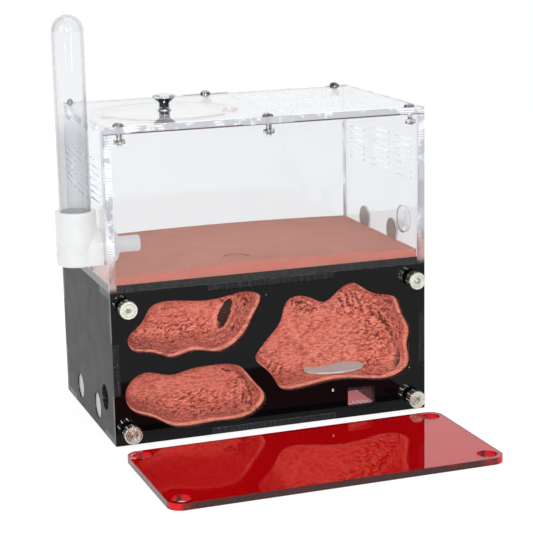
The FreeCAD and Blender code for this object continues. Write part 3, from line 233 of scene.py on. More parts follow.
    def radius_about(self, centre, axes):
        """Distance from a line through centre, in the plane of two axes."""
        offset = self.node("VectorMath", {"operation": "SUBTRACT"})
        self.feed(offset.inputs[0], self.place())
        offset.inputs[1].default_value = centre
        parts = self.node("SeparateXYZ", Vector=offset.outputs[0])
        squares = [self.math("POWER", parts.outputs[axis], 2.0) for axis in axes]
        return self.math("SQRT", self.math("ADD", *squares))

    def bump(self, height, distance, strength):
        made = self.node("Bump", Height=height, Distance=distance, Strength=strength)
        self.set("Normal", made.outputs["Normal"])


def colour(*rgb):
    return (*rgb, 1.0)


def dress(surface, *names):
    """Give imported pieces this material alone."""
    for name in names:
        mesh = nodes[name].data
        mesh.materials.clear()
        mesh.materials.append(surface.material)


def black_sheet(axis):
    """Polished black acrylic: faint haze and dust on the faces, laser marks on the edges, and
    painted highlights on the bevels along the nest's border and round the filler hole.
    """
    made = Surface("black_sheet_" + axis, Roughness=0.05, Specular_IOR_Level=0.16)
    edges = made.cut_edges(axis)
    haze = made.noise(90.0, 3.0)
    dust = made.span(made.noise(2600.0, 2.0), 0.72, 0.80)
    face = made.blend(haze, colour(0.0008, 0.0009, 0.0012), colour(0.0018, 0.0019, 0.0024))
    face = made.blend(made.times(dust, 0.35), face, colour(0.05, 0.05, 0.055))
    streak = made.noise(900.0, 2.0, vector=made.stretched((1.0, 1.0, 0.12)))
    chips = made.span(made.noise(1500.0, 3.0, 0.8), 0.62, 0.70)
    edge = made.blend(streak, colour(0.004, 0.004, 0.005), colour(0.016, 0.016, 0.019))
    edge = made.blend(made.times(chips, made.far_left()), edge, colour(0.46, 0.46, 0.47))
    tone = made.blend(edges, face, edge)
    # A painted highlight: dotted pale grey on the fine bevels along the nest's outer edges.
    line = made.times(made.chamfer(axis), made.near_border())
    dots = made.span(made.noise(700.0, 3.0, 0.8), 0.45, 0.68, 0.25, 1.0)
    tone = made.blend(made.times(line, dots), tone, colour(0.17, 0.17, 0.18))
    speck = made.spot(MASK_SPECK, 0.35 * MM)
    tone = made.blend(speck, tone, colour(0.12, 0.12, 0.12))
    # A painted highlight: a pale spot on the filler hole's rim.
    painted_filler_highlight = made.spot(FILLER_HOLE, 0.7 * MM)
    made.set("Base Color", made.blend(painted_filler_highlight, tone, colour(0.72, 0.73, 0.73)))
    gloss = (0.38, 0.46) if axis == "X" else (0.03, 0.08)
    made.set("Roughness", made.mix_value(edges, made.span(haze, 0.3, 0.8, *gloss),
                                         made.span(streak, 0.3, 0.8, 0.18, 0.4)))
    made.bump(made.times(edges, streak), 0.05 * MM, 0.4)
    return made


def clear_sheet(axis):
    """Clear acrylic: polished faces with fine dust, frosted joints, and cut edges with a
    painted glow.
    """
    made = Surface("clear_sheet_" + axis, IOR=1.49)
    line = made.glue_line(axis)
    frosted = made.math("MAXIMUM", made.cut_edges(axis), made.covered_edges(axis))
    frosted = made.math("MAXIMUM", frosted, line)
    haze = made.noise(60.0, 3.0)
    face = made.blend(haze, colour(0.905, 0.915, 0.925), colour(0.880, 0.892, 0.902))
    runs = made.span(made.noise(115.0, 3.0), 0.46, 0.54)
    height = made.axis_part(made.place(), "Z")
    lines = made.times(made.span(made.waves(height, EDGE_LINES), -0.2, 0.8),
                       made.span(made.noise(75.0, 2.0), 0.45, 0.60))
    shade = made.mix_value(made.outermost(), 0.1, made.math("MAXIMUM", runs, lines))
    edge = made.blend(shade, colour(0.44, 0.45, 0.49), colour(0.28, 0.29, 0.32))
    # Painted reflection of the slab: the cut edges, and their glow, turn pink beside it.
    painted_slab_pink = made.span(height, *BESIDE_SLAB, 0.9, 0.0)
    edge = made.blend(painted_slab_pink, edge, colour(0.22, 0.11, 0.095))
    # Painted dark: the cut edges turn near black where the pane stands on the black nest top.
    foot = made.span(height, *PANE_FOOT, 1.0, 0.0)
    edge = made.blend(foot, edge, colour(0.03, 0.015, 0.015))
    edge = made.blend(line, edge, colour(0.10, 0.05, 0.06))
    made.set("Base Color", made.blend(frosted, face, edge))
    made.set("Transmission Weight",
             made.mix_value(frosted, 1.0, made.mix_value(line, 0.35, 0.0)))
    # A painted glow on the frosted edges, which are no lamp: pink beside the slab, none on the
    # glue line and at the pane's foot.
    made.set("Emission Color", made.blend(painted_slab_pink, colour(0.96, 0.97, 1.0),
                                          colour(0.52, 0.33, 0.30)))
    glow = made.mix_value(line, made.mix_value(shade, 0.44, 0.20), 0.0)
    glow = made.mix_value(foot, glow, 0.0)
    made.set("Emission Strength", made.times(frosted, glow))
    made.set("Roughness", made.mix_value(frosted, made.span(haze, 0.3, 0.8, 0.0, 0.02),
                                         made.span(haze, 0.3, 0.8, 0.10, 0.28)))
    made.bump(made.times(frosted, runs), 0.04 * MM, 0.3)
    return made


def window_sheet(name, veil):
    """Clean clear sheet that is seen only as a faint film with a few smears."""
    made = Surface(name, Roughness=0.06)
    smear = made.noise(55.0, 3.0, vector=made.stretched((1.0, 1.0, 2.2)))
    made.set("Base Color", made.blend(smear, colour(0.80, 0.82, 0.84),
                                      colour(0.90, 0.91, 0.92)))
    made.set("Alpha", made.span(smear, 0.35, 0.75, veil * 0.6, veil * 1.5))
    made.set("Roughness", made.span(smear, 0.3, 0.8, 0.04, 0.12))
    return made


def red_sheet():
    """Transparent red acrylic, dark along its cut edges, with a painted highlight where they
    turn round corners and holes.
    """
    made = Surface("red_sheet", IOR=1.49, Specular_IOR_Level=0.25)
    edges = made.cut_edges("Z")
    haze = made.noise(45.0, 3.0)
    streak = made.noise(900.0, 2.0, vector=made.stretched((1.0, 1.0, 0.1)))
    face = made.blend(haze, colour(0.50, 0.000, 0.001), colour(0.58, 0.000, 0.004))
    edge = made.blend(streak, colour(0.10, 0.0, 0.001), colour(0.34, 0.0, 0.004))
    # A painted highlight: the cut edges turn bright red, and less clear, where they curve round
    # corners and holes.
    normal = made.node("SeparateXYZ", Vector=made.normal())
    corner = made.math("ABSOLUTE", made.times(normal.outputs["X"], normal.outputs["Y"]))
    corner = made.span(corner, 0.08, 0.30)
    edge = made.blend(corner, edge, colour(0.62, 0.0, 0.006))
    made.set("Base Color", made.blend(edges, face, edge))
    clear = made.mix_value(corner, 0.90, 0.25)
    made.set("Transmission Weight", made.mix_value(edges, 1.0, clear))
    made.set("Roughness", made.mix_value(edges, made.span(haze, 0.3, 0.8, 0.0, 0.015), 0.22))
    made.bump(made.times(edges, streak), 0.05 * MM, 0.4)
    return made


def tank_sheet():
    """Wet liner of the water tank: walls painted dark as shade, a stained pink floor painted as
    lit with a painted glow, beads of air in front.
    """
    made = Surface("tank_sheet", Roughness=0.12, Specular_IOR_Level=0.6)
    stain = made.noise(350.0, 4.0)
    # Painted shade on the upright walls and painted light on the floor, chosen by which way the
    # liner faces.
    walls = made.blend(stain, colour(0.010, 0.004, 0.005), colour(0.050, 0.014, 0.016))
    floor = made.blend(stain, colour(0.62, 0.190, 0.215), colour(0.78, 0.320, 0.340))
    level = made.math("GREATER_THAN", made.axis_part(made.normal(), "Z"), 0.7)
    tone = made.blend(level, walls, floor)
    near = made.math("LESS_THAN", made.axis_part(made.place(), "Y"), TANK_FRONT_Y)
    beads = made.span(made.cells(620.0), 0.42, 0.30)
    beads = made.times(made.times(near, beads), level)
    tone = made.blend(beads, tone, colour(0.85, 0.82, 0.82))
    made.set("Base Color", tone)
    # A painted glow on the floor and its beads, which are no lamp.
    made.set("Emission Color", tone)
    made.set("Emission Strength", made.times(level, 0.30))
    made.set("Roughness", made.span(stain, 0.3, 0.7, 0.08, 0.3))
    return made


def plaster_shader(name, body, pale, deep, grain):
    """Dyed plaster: mottled colour, pores, and pale specks."""
    made = Surface(name, Roughness=0.86, Specular_IOR_Level=0.06)
    cloud = made.noise(120.0, 5.0, 0.6)
    fine = made.noise(1400.0, 4.0, 0.7)
    tone = made.blend(made.span(cloud, 0.35, 0.68), body, pale)
    tone = made.blend(made.times(made.span(fine, 0.50, 0.75), 0.35), tone, deep)
    specks = made.span(made.noise(2300.0, 1.0), 0.70, 0.76)
    tone = made.blend(made.times(specks, 0.45), tone, colour(0.94, 0.60, 0.52))
    pores = made.span(made.cells(900.0), 0.10, 0.02)
    tone = made.blend(made.times(pores, 0.35), tone, deep)
    rough = made.math("ADD", made.times(fine, 0.7),
                      made.times(made.noise(420.0, 5.0, 0.65), 0.9))
    made.set("Roughness", made.span(cloud, 0.3, 0.8, 0.78, 0.95))
    made.bump(rough, grain, 0.8)
    return made, tone


def carved_plaster():
    """The nest's plaster: painted shade in its crevices, gouges and hollows, painted highlights
    on its ridges and rims.
    """
    made, tone = plaster_shader("carved_plaster", colour(0.70, 0.178, 0.125),
                                colour(0.76, 0.235, 0.170), colour(0.44, 0.070, 0.045),
                                0.45 * MM)
    parts = {key: made.node("Attribute", {"attribute_name": key}).outputs["Fac"]
             for key in CARVED_FIELDS}
    # Trowel flecks: real tool marks, their dark painted shade and their pale painted highlight,
    # stronger in the rough zones.
    leaned = made.stretched((0.45, 1.0, 1.25), (0, math.radians(FLECK_LEAN), 0))
    scratches = made.noise(950.0, 3.0, 0.6, leaned)
    coarse = made.noise(430.0, 3.0, 0.6, leaned)
    force = made.span(parts["rough"], 0.1, 0.9, 0.45, 1.0)
    dark = made.math("MAXIMUM", made.span(scratches, 0.52, 0.62), made.span(coarse, 0.56, 0.64))
    tone = made.blend(made.times(dark, force), tone, colour(0.27, 0.022, 0.014))
    light = made.times(made.span(scratches, 0.47, 0.38), force)
    tone = made.blend(made.times(light, 0.7), tone, colour(0.93, 0.36, 0.25))
    # Painted highlight on what stands out and along the rims, painted shade in crevices, gouges
    # and hollows.
    tone = made.blend(made.times(parts["ridge_highlight"], 0.5), tone, colour(0.93, 0.36, 0.25))
    tone = made.blend(parts["crevice_shade"], tone, colour(0.16, 0.010, 0.006))
    tone = made.blend(made.times(parts["lip"], 0.30), tone, colour(0.96, 0.36, 0.25))
    made.set("Base Color", made.blend(parts["hollow"], tone, colour(0.060, 0.012, 0.008)))
    return made


def cast_plaster(name):
    """The arena's floor: a paler top, deeper red on its sides, and pale specks that are painted
    glints.
    """
    made, tone = plaster_shader(name, colour(0.90, 0.330, 0.235), colour(0.95, 0.375, 0.275),
                                colour(0.72, 0.210, 0.140), 0.12 * MM)
    sides = made.math("LESS_THAN", made.facing("Z"), 0.80)
    side_tone = made.blend(made.noise(260.0, 3.0), colour(0.84, 0.190, 0.120),
                       colour(0.93, 0.280, 0.190))
    tone = made.blend(sides, tone, side_tone)
    # Painted glints: small pale specks.
    glint = made.span(made.cells(520.0), 0.07, 0.03)
    tone = made.blend(made.times(glint, 0.7), tone, colour(0.90, 0.78, 0.74))
    chip = made.spot(SLAB_CHIP, 1.3 * MM)
    made.set("Base Color", made.blend(made.times(chip, 0.6), tone,
                                      colour(0.95, 0.80, 0.78)))
    return made


def metal(name, low, high, roughness, grain_scale, metallic=1.0, mixing=0.5):
    """Plated or plain metal with a mottled sheen and fine scratches; a small mixing sharpens
    the mottle into painted glints.
    """
    made = Surface(name, Metallic=metallic, Roughness=roughness)
    mottle = made.noise(grain_scale, 4.0)
    share = made.span(mottle, 0.5 - mixing, 0.5 + mixing)
    made.set("Base Color", made.blend(share, colour(*low), colour(*high)))
    made.set("Roughness", made.span(mottle, 0.3, 0.7, roughness * 0.7, roughness * 1.5))
    made.bump(made.noise(grain_scale * 6, 2.0), 0.01 * MM, 0.25)
    return made


def turned_nickel(name, centre):
    """Nickel plate with the lathe's rings about the screw's axis and a worn hub."""
    made = Surface(name, Metallic=1.0)
    radius = made.radius_about(centre, ("X", "Z"))
    mottle = made.noise(700.0, 4.0)
    plate = made.blend(mottle, colour(0.60, 0.60, 0.52), colour(0.80, 0.80, 0.71))
    hub = made.times(made.span(radius, 0.8 * MM, 2.6 * MM, 0.9, 0.0),
                     made.span(mottle, 0.44, 0.56))
    made.set("Base Color", made.blend(hub, plate, colour(0.20, 0.20, 0.17)))
    made.set("Roughness", made.span(mottle, 0.3, 0.7, 0.16, 0.34))
    made.bump(made.waves(radius, LATHE_RINGS), 0.02 * MM, 0.5)
    return made


def woven_steel():
    """Fine woven wire: two crossed sets of waves, with painted shade in the gaps between them
    and a painted glow on the wires.
    """
    made = Surface("woven_steel", Metallic=0.1)
    place = made.stretched((1.0, 1.0, 1.0), (0, 0, WIRE_TURN))
    wires = made.waves(made.axis_part(place, "X"), WIRES)
    across = made.waves(made.axis_part(place, "Y"), CROSS_WIRES)
    weave = made.math("ADD", made.times(wires, 0.7), made.times(across, 0.3))
    patch = made.noise(260.0, 4.0)
    bright = made.blend(patch, colour(0.70, 0.86, 0.88), colour(0.86, 0.98, 1.0))
    # Painted shade in the gaps, and a painted glow on the wires.
    open_weave = made.span(weave, -0.6, 0.4)
    made.set("Base Color", made.blend(open_weave, colour(0.09, 0.10, 0.10), bright))
    made.set("Emission Color", made.blend(patch, colour(0.86, 1.0, 1.0), colour(1.0, 1.0, 1.0)))
    made.set("Emission Strength", made.times(open_weave, 0.16))
    made.set("Roughness", made.span(patch, 0.3, 0.7, 0.35, 0.6))
    made.bump(weave, 0.10 * MM, 0.8)
    return made


def white_resin():
    """Smooth white moulding with a painted glow that keeps its shaded insides bright, and faint
    layer lines.
    """
    made = Surface("white_resin", Roughness=0.35, Specular_IOR_Level=0.5)
    cloud = made.noise(160.0, 3.0)
    made.set("Base Color", made.blend(cloud, colour(0.25, 0.255, 0.26),
                                      colour(0.29, 0.295, 0.30)))
    # A painted glow, which is no lamp: it lights the moulding's insides and flattens its
    # shading.
    made.set("Emission Color", made.blend(cloud, colour(0.98, 0.98, 0.96),
                                          colour(1.0, 1.0, 1.0)))
    made.set("Emission Strength", made.span(cloud, 0.3, 0.7, 0.43, 0.46))
    made.set("Roughness", made.span(cloud, 0.3, 0.7, 0.28, 0.42))
    layers = made.waves(made.axis_part(made.place(), "Z"), RESIN_LAYERS)
    made.bump(layers, 0.01 * MM, 0.2)
    return made


def clear_glass():
    """Thin laboratory glass: painted grey lower down, where the arena stands behind it, and
    painted darker where the wall is seen edge-on.
    """
    made = Surface("clear_glass", IOR=1.50, Transmission_Weight=1.0)
    haze = made.noise(70.0, 3.0)
    # Painted shade: the wall turns dark grey where it is seen edge-on.
    rim = made.node("LayerWeight", Blend=0.5).outputs["Facing"]
    clear = made.blend(haze, colour(0.945, 0.950, 0.960), colour(0.915, 0.925, 0.940))
    # Painted shade: the glass turns grey below the lid's height, where the arena stands behind
    # the tube.
    painted_grey_below = made.span(made.axis_part(made.place(), "Z"), *GREY_BELOW_HEIGHTS, 1.0, 0.0)
    clear = made.blend(painted_grey_below, clear, colour(0.76, 0.775, 0.79))
    made.set("Base Color", made.blend(made.span(rim, 0.40, 0.95), clear,
                                      colour(0.26, 0.27, 0.30)))
    made.set("Roughness", made.span(haze, 0.4, 0.8, 0.0, 0.03))
    return made


def turned_chrome():
    """Polished chrome knob: bright rims, and painted dark reflections on the faces that look
    down, under its cap and along its waist.
    """
    made = Surface("turned_chrome", Metallic=1.0)
    # Painted dark reflections on faces that look down, bright colour on the rest.
    upright = made.span(made.axis_part(made.normal(), "Z"), -0.35, -0.05)
    mottle = made.noise(600.0, 4.0)
    bright = made.blend(mottle, colour(0.55, 0.60, 0.62), colour(0.78, 0.82, 0.84))
    made.set("Base Color", made.blend(upright, colour(0.030, 0.038, 0.042), bright))
    made.set("Roughness", made.span(mottle, 0.3, 0.7, 0.04, 0.12))
    made.bump(made.noise(3600.0, 2.0), 0.008 * MM, 0.2)
    return made


# ---------------------------------------------------------------------- carved plaster block
CHAMBER_DEPTH = 20 * MM
RIM_INSET = 0.8 * MM
AROUND = 600                     # points round each chamber
WALL_STEPS = 60
BACK_STEPS = 60
WALL_RING = 5                    # a ring well up the wall, to tell outward from inward
# The wall leans in evenly by WALL_LEAN, and by FOOT_INSET more as it rounds off at its foot.
WALL_LEAN, FOOT_INSET, FOOT_CURVE = 0.5, 4.4, 2.8    # millimetres, millimetres, power
WALL_SHARE, WALL_CURVE = 0.96, 1.5           # part of the depth that is wall, and its power
BACK_CURVE = 3
FLECK_LEAN = 28.0                # degrees that the trowel's flecks lean over
FLECK_STRETCH = (0.5, 1.0, 1.5)
LUMP_STRETCH = (0.7, 1.0, 1.4)
CALM = 0.18                      # roughness outside the rough zones
# Relief: size of its features, octaves, and what is added to the chamber's seed.
RELIEF = {"soft": (9 * MM, 3, 0), "lumps": (2.2 * MM, 4, 7), "grains": (0.8 * MM, 3, 13),
          "flecks": (1.9 * MM, 3, 17), "drift": (3.2 * MM, 3, 23)}
LEDGE_NOISE = (1.6 * MM, 3, 91.0)
# Depth in millimetres of the soft relief, lumps, grains and flecks: the least, and how much
# more the roughness adds.
DEPTHS = ((0.50, 0.0), (0.08, 0.26), (0.05, 0.08), (0.15, 2.80))
EASE = {"start": 0.02, "length": 0.16, "power": 1.2}     # shares of the wall, from the rim
STILL_RINGS = 6                  # fading rings round the deepest point
# The rings along the rim get a painted highlight.
RIM_HIGHLIGHT_RINGS = 2.5                  # pale rings along the rim
# How the painted shade and highlight follow the relief, which is what stands out from its
# neighbours.
NEAR_REACH, FAR_REACH, FAR_SHARE = 3, 9, 0.5
CREVICE_SHADE = {"gain": 2.8, "least": 0.10, "share": 0.7, "cuts": 0.8, "most": 0.95}
RIDGE_HIGHLIGHT = {"gain": 3.0, "least": 0.12}
SHALLOW_GOUGE = 0.3              # millimetres, no darker than the plaster round it
ZONE_EDGE = 0.6                  # soft border of a zone, as a share of its half size
# Where the carving shows its tools, in millimetres on the mask's face from its lower left
# corner, as seen from the camera: rough zones (x, z, half width, half height, amount),
# gouges (x, z, x, z, width, depth), and shelves and hollows cut deeper (x, z, half
# sizes, turn, depth), the hollows also darkened with painted shade.
CHAMBERS = {
    "upper": {
        "centre": (-37.0, 51.0),
        "rough": [(30, 46, 20, 7, 1.0), (58, 55, 7, 9, 1.2), (16, 50, 8, 6, 0.5),
                  (46, 44, 14, 5, 0.7)],
        "gouges": [(21, 60.9, 33, 60.8, 0.45, 0.5), (20, 57.2, 33, 57.0, 0.45, 0.5),
                   (18, 54.6, 34, 54.4, 0.5, 0.3), (34.5, 56, 36, 54.5, 0.6, 0.6),
                   (52.0, 62.2, 53.5, 59.8, 0.5, 1.2), (54.0, 62.2, 55.5, 60.0, 0.5, 1.1),
                   (56.8, 62.4, 56.3, 60.4, 0.4, 1.0), (61.2, 62.4, 62.8, 61.0, 0.4, 1.1),
                   (62.8, 61.0, 61.1, 58.8, 0.45, 1.1), (58.8, 53.9, 56.4, 51.5, 0.5, 1.0),
                   (56.4, 51.5, 55.0, 48.6, 0.5, 1.2), (57, 55, 60, 58, 0.5, 0.6),
                   (31.3, 50.6, 32.4, 51.8, 0.5, 1.2)],
        "shelves": [(26, 58, 9, 3.6, 0, 0.5)],
        "hollows": [(52.0, 56.0, 1.5, 4.6, -24, 6.0)],
    },
    "lower": {
        "centre": (-37.0, 19.5),
        "rough": [(32, 15, 20, 5, 0.8), (60, 17, 5, 9, 1.0), (14, 19, 7, 5, 0.5)],
        "gouges": [(50.5, 30.2, 56.5, 28.2, 0.7, 1.4), (56.5, 28.2, 61, 22.5, 0.9, 2.4),
                   (61, 22.5, 63.4, 16, 0.7, 1.6), (63.4, 16, 63, 10.6, 0.6, 1.4),
                   (63, 10.6, 58.0, 9.4, 0.5, 1.2), (58.0, 9.4, 44, 10.2, 0.4, 0.6),
                   (13, 19.2, 15.6, 21.2, 0.5, 0.9), (30, 18.5, 33, 19.5, 0.5, 1.2),
                   (38.5, 20, 41.5, 22, 0.5, 0.9), (26, 13.5, 29, 14.6, 0.5, 0.8),
                   (39, 11.5, 41, 13, 0.5, 0.9), (44, 11.8, 46.5, 12.4, 0.5, 0.9),
                   (59.5, 14, 60.2, 19, 0.5, 1.0), (61.3, 12.5, 61.6, 17, 0.4, 0.8),
                   (33, 9.6, 38, 10.2, 0.4, 0.8)],
        "shelves": [],
        "hollows": [],
    },
    "main": {
        "centre": (32.0, 38.0),
        "rough": [(72, 30, 6, 7, 0.6), (128, 44, 10, 12, 1.1), (90, 56, 9, 4, 0.7),
                  (113, 56, 7, 6, 0.9), (128, 23, 12, 5, 0.9), (78, 23, 8, 4, 0.6),
                  (104, 40, 16, 12, 0.35)],
        "gouges": [(84, 58.4, 90, 56.4, 0.5, 1.0), (88, 57.6, 97, 52.6, 0.5, 1.1),
                   (87, 56.0, 93, 53.4, 0.5, 0.9), (108.2, 57.6, 109.6, 52.6, 0.5, 1.2),
                   (110.6, 60.4, 112.4, 54.0, 0.45, 1.2), (113.2, 60.2, 114.6, 53.6, 0.4, 1.1),
                   (115, 59.0, 117.6, 53.2, 0.45, 1.1), (111.5, 53.6, 116.8, 52.0, 0.4, 0.8),
                   (129, 53.8, 134, 52.2, 0.6, 1.2), (134, 52.2, 134.6, 49.2, 0.6, 1.2),
                   (127.5, 50.6, 132, 49.2, 0.5, 1.2), (122.5, 50.8, 126.2, 45.4, 0.5, 1.0),
                   (126.2, 48.8, 129.8, 42.6, 0.6, 1.5), (129, 45.4, 133.2, 36.6, 0.7, 1.6),
                   (121.6, 45.6, 125.0, 38.6, 0.45, 0.8), (125.0, 41.4, 127.2, 36.8, 0.4, 0.8),
                   (133.0, 36.2, 134.6, 31.6, 0.6, 1.4), (119.6, 24.4, 122.4, 27.2, 0.5, 0.9),
                   (123.5, 24.0, 126.2, 24.8, 0.4, 0.7), (72.5, 27.8, 73.6, 31.6, 0.5, 0.8),
                   (74.6, 26.8, 76.4, 29.2, 0.45, 0.7), (77.6, 27.4, 79.6, 28.0, 0.4, 0.7),
                   (126.8, 21.6, 129.2, 20.6, 0.4, 0.7), (130.2, 21.2, 132.0, 20.6, 0.4, 0.7)],
        "shelves": [],
        "hollows": [(135.3, 26.2, 1.3, 3.2, -8, 7.0)],
    },
}
SCREW_NOTCH = {"side": 9.0, "rise": 9.0}     # corners left free for the screw blocks
TANK = {"left": 19.5, "right": 52.5, "top": 14.6, "depth": 22.0}
MESH_LEDGE = {"centre": (36.0, -30.0), "half": (15.6, 9.6), "level": 18.95,
              "reach": 3.5, "fade": 1.5}     # how far above its level the floor is flattened


def hole_outlines(name, level):
    """Closed outlines of a sheet's face at y = level, largest first, as (x, z) points."""
    uses = {}
    mesh = nodes[name].data
    for face in mesh.polygons:
        corners = [mesh.vertices[index].co for index in face.vertices]
        if all(abs(corner.y - level) < 1e-6 for corner in corners):
            keys = [(round(corner.x, 7), round(corner.z, 7)) for corner in corners]
            for pair in zip(keys, keys[1:] + keys[:1]):
                uses[frozenset(pair)] = uses.get(frozenset(pair), 0) + 1
    following = {}
    for pair, count in uses.items():
        if count == 1:
            for one, other in (tuple(pair), tuple(pair)[::-1]):
                following.setdefault(one, []).append(other)
    outlines = []
    while following:
        start = next(iter(following))
        line, last, here = [start], None, start
        while True:
            ways = [spot for spot in following.pop(here, []) if spot != last]
            if not ways or ways[0] == start:
                break
            last, here = here, ways[0]
            if here not in following:
                break
            line.append(here)
        outlines.append(np.array(line))
    return sorted(outlines, key=lambda line: -np.ptp(line[:, 0]) * np.ptp(line[:, 1]))


def outline_radii(outline, centre):
    """The outline's distance from a centre, at even angles round it."""
    offset = outline - np.array(centre)
    angle = np.arctan2(offset[:, 1], offset[:, 0])
    order = np.argsort(angle)
    return np.interp(np.linspace(-np.pi, np.pi, AROUND, endpoint=False), angle[order],
                     np.hypot(offset[order, 0], offset[order, 1]), period=2 * np.pi)


def scoop_grid(radii, centre):
    """Rings of a chamber from its rim, down the wall and across the back."""
    angle = np.linspace(-np.pi, np.pi, AROUND, endpoint=False)
    rings = []
    for step in range(WALL_STEPS):
        share = step / (WALL_STEPS - 1)
        inset = (WALL_LEAN * share + FOOT_INSET * share ** FOOT_CURVE) * MM
        depth = CHAMBER_DEPTH * (1 - (1 - share) ** WALL_CURVE) * WALL_SHARE
        rings.append((radii - inset, depth))
    last_radius, last_depth = rings[-1]
    for step in range(1, BACK_STEPS):
        share = step / (BACK_STEPS - 1)
        rise = (CHAMBER_DEPTH - last_depth) * (1 - (1 - share) ** BACK_CURVE)
        rings.append((last_radius * (1 - share), last_depth + rise))
    grid = np.empty((len(rings), AROUND, 3))
    for index, (radius, depth) in enumerate(rings):
        grid[index, :, 0] = centre[0] + radius * np.cos(angle)
        grid[index, :, 1] = PLASTER_FACE_Y + depth
        grid[index, :, 2] = centre[1] + radius * np.sin(angle)
    return grid


def seen_on_mask(points):
    """Where points are seen on the mask's face, in millimetres from its lower left corner."""
    eye = np.array(CAMERA_PLACE)
    share = (MASK_FACE_Y - eye[1]) / (points[..., 1] - eye[1])
    spots = eye + (points - eye) * share[..., None]
    return spots[..., 0] / MM + MASK_HALF_WIDTH, spots[..., 2] / MM


def zone(x, z, x0, z0, half_x, half_z, turn=0.0):
    """A soft-edged ellipse: 1 inside, fading to 0 outside."""
    angle = math.radians(turn)
    u = (x - x0) * math.cos(angle) + (z - z0) * math.sin(angle)
    v = (z - z0) * math.cos(angle) - (x - x0) * math.sin(angle)
    reach = np.hypot(u / half_x, v / half_z)
    return np.clip(1 + ZONE_EDGE - reach, 0, ZONE_EDGE) / ZONE_EDGE


def stroke(x, z, x0, z0, x1, z1, width):
    """A tool mark from one point to another, tapering to its ends."""
    along = np.clip(((x - x0) * (x1 - x0) + (z - z0) * (z1 - z0))
                    / ((x1 - x0) ** 2 + (z1 - z0) ** 2), 0, 1)
    away = np.hypot(x - x0 - along * (x1 - x0), z - z0 - along * (z1 - z0))
    return np.exp(-(away / (width * (0.55 + 0.45 * np.sin(along * math.pi)))) ** 2)


def sampled(grid, scale, seed, stretch, lean):
    """Places on the grid in noise units, leaned over in the face and then stretched."""
    turn = math.radians(lean)
    along = grid[..., 0] * math.cos(turn) + grid[..., 2] * math.sin(turn)
    upward = grid[..., 2] * math.cos(turn) - grid[..., 0] * math.sin(turn)
    places = np.stack((along, grid[..., 1], upward), axis=-1)
    return places.reshape(-1, 3) / scale * np.array(stretch) + seed


def wrinkles(grid, scale, octaves, seed, stretch=(1.0, 1.0, 1.0), lean=0.0):
    """Fractal noise over a grid of points, with features of about scale metres."""
    values = [noise.fractal(Vector(point), 1.0, 2.1, octaves)
              for point in sampled(grid, scale, seed, stretch, lean)]
    return np.array(values).reshape(grid.shape[:2])


def ridges(grid, scale, octaves, seed, stretch, lean):
    """Sharp-crested fractal relief, 0 in the valleys and 1 on the crests."""
    values = [noise.ridged_multi_fractal(Vector(point), 0.9, 2.1, octaves, 1.0, 2.0)
              for point in sampled(grid, scale, seed, stretch, lean)]
    return np.clip(np.array(values).reshape(grid.shape[:2]) / 2.2, 0, 1)


def spread(values, reach):
    """Mean of a field over a square of neighbours, wrapping round the rings."""
    rows = np.pad(values, ((reach, reach), (0, 0)), mode="edge")
    summed = sum(rows[step:step + values.shape[0]] for step in range(2 * reach + 1))
    wide = sum(np.roll(summed, step, axis=1) for step in range(-reach, reach + 1))
    return wide / (2 * reach + 1) ** 2


def outward(grid):
    """Unit normals of a chamber's rings, pointing into the plaster."""
    ring = np.roll(grid, -1, axis=1) - np.roll(grid, 1, axis=1)
    down = np.gradient(grid, axis=0)
    normal = np.cross(ring, down)
    normal /= np.maximum(np.linalg.norm(normal, axis=2, keepdims=True), 1e-12)
    middle = grid[-1].mean(axis=0)
    normal *= np.sign((normal[WALL_RING] * (grid[WALL_RING] - middle)).sum())
    return normal


def painted_relief_shading(push, cuts):
    """How much painted shade a place gets for lying in the crevices, and how much painted
    highlight for standing out.
    """
    relief = (push - spread(push, NEAR_REACH)
              + FAR_SHARE * (push - spread(push, FAR_REACH)))
    sunken = np.clip(relief * CREVICE_SHADE["gain"] - CREVICE_SHADE["least"], 0, 1)
    shade = CREVICE_SHADE["share"] * sunken + CREVICE_SHADE["cuts"] * cuts
    return {"crevice_shade": np.clip(shade, 0, CREVICE_SHADE["most"]),
            "ridge_highlight": np.clip(-relief * RIDGE_HIGHLIGHT["gain"] - RIDGE_HIGHLIGHT["least"], 0, 1)}


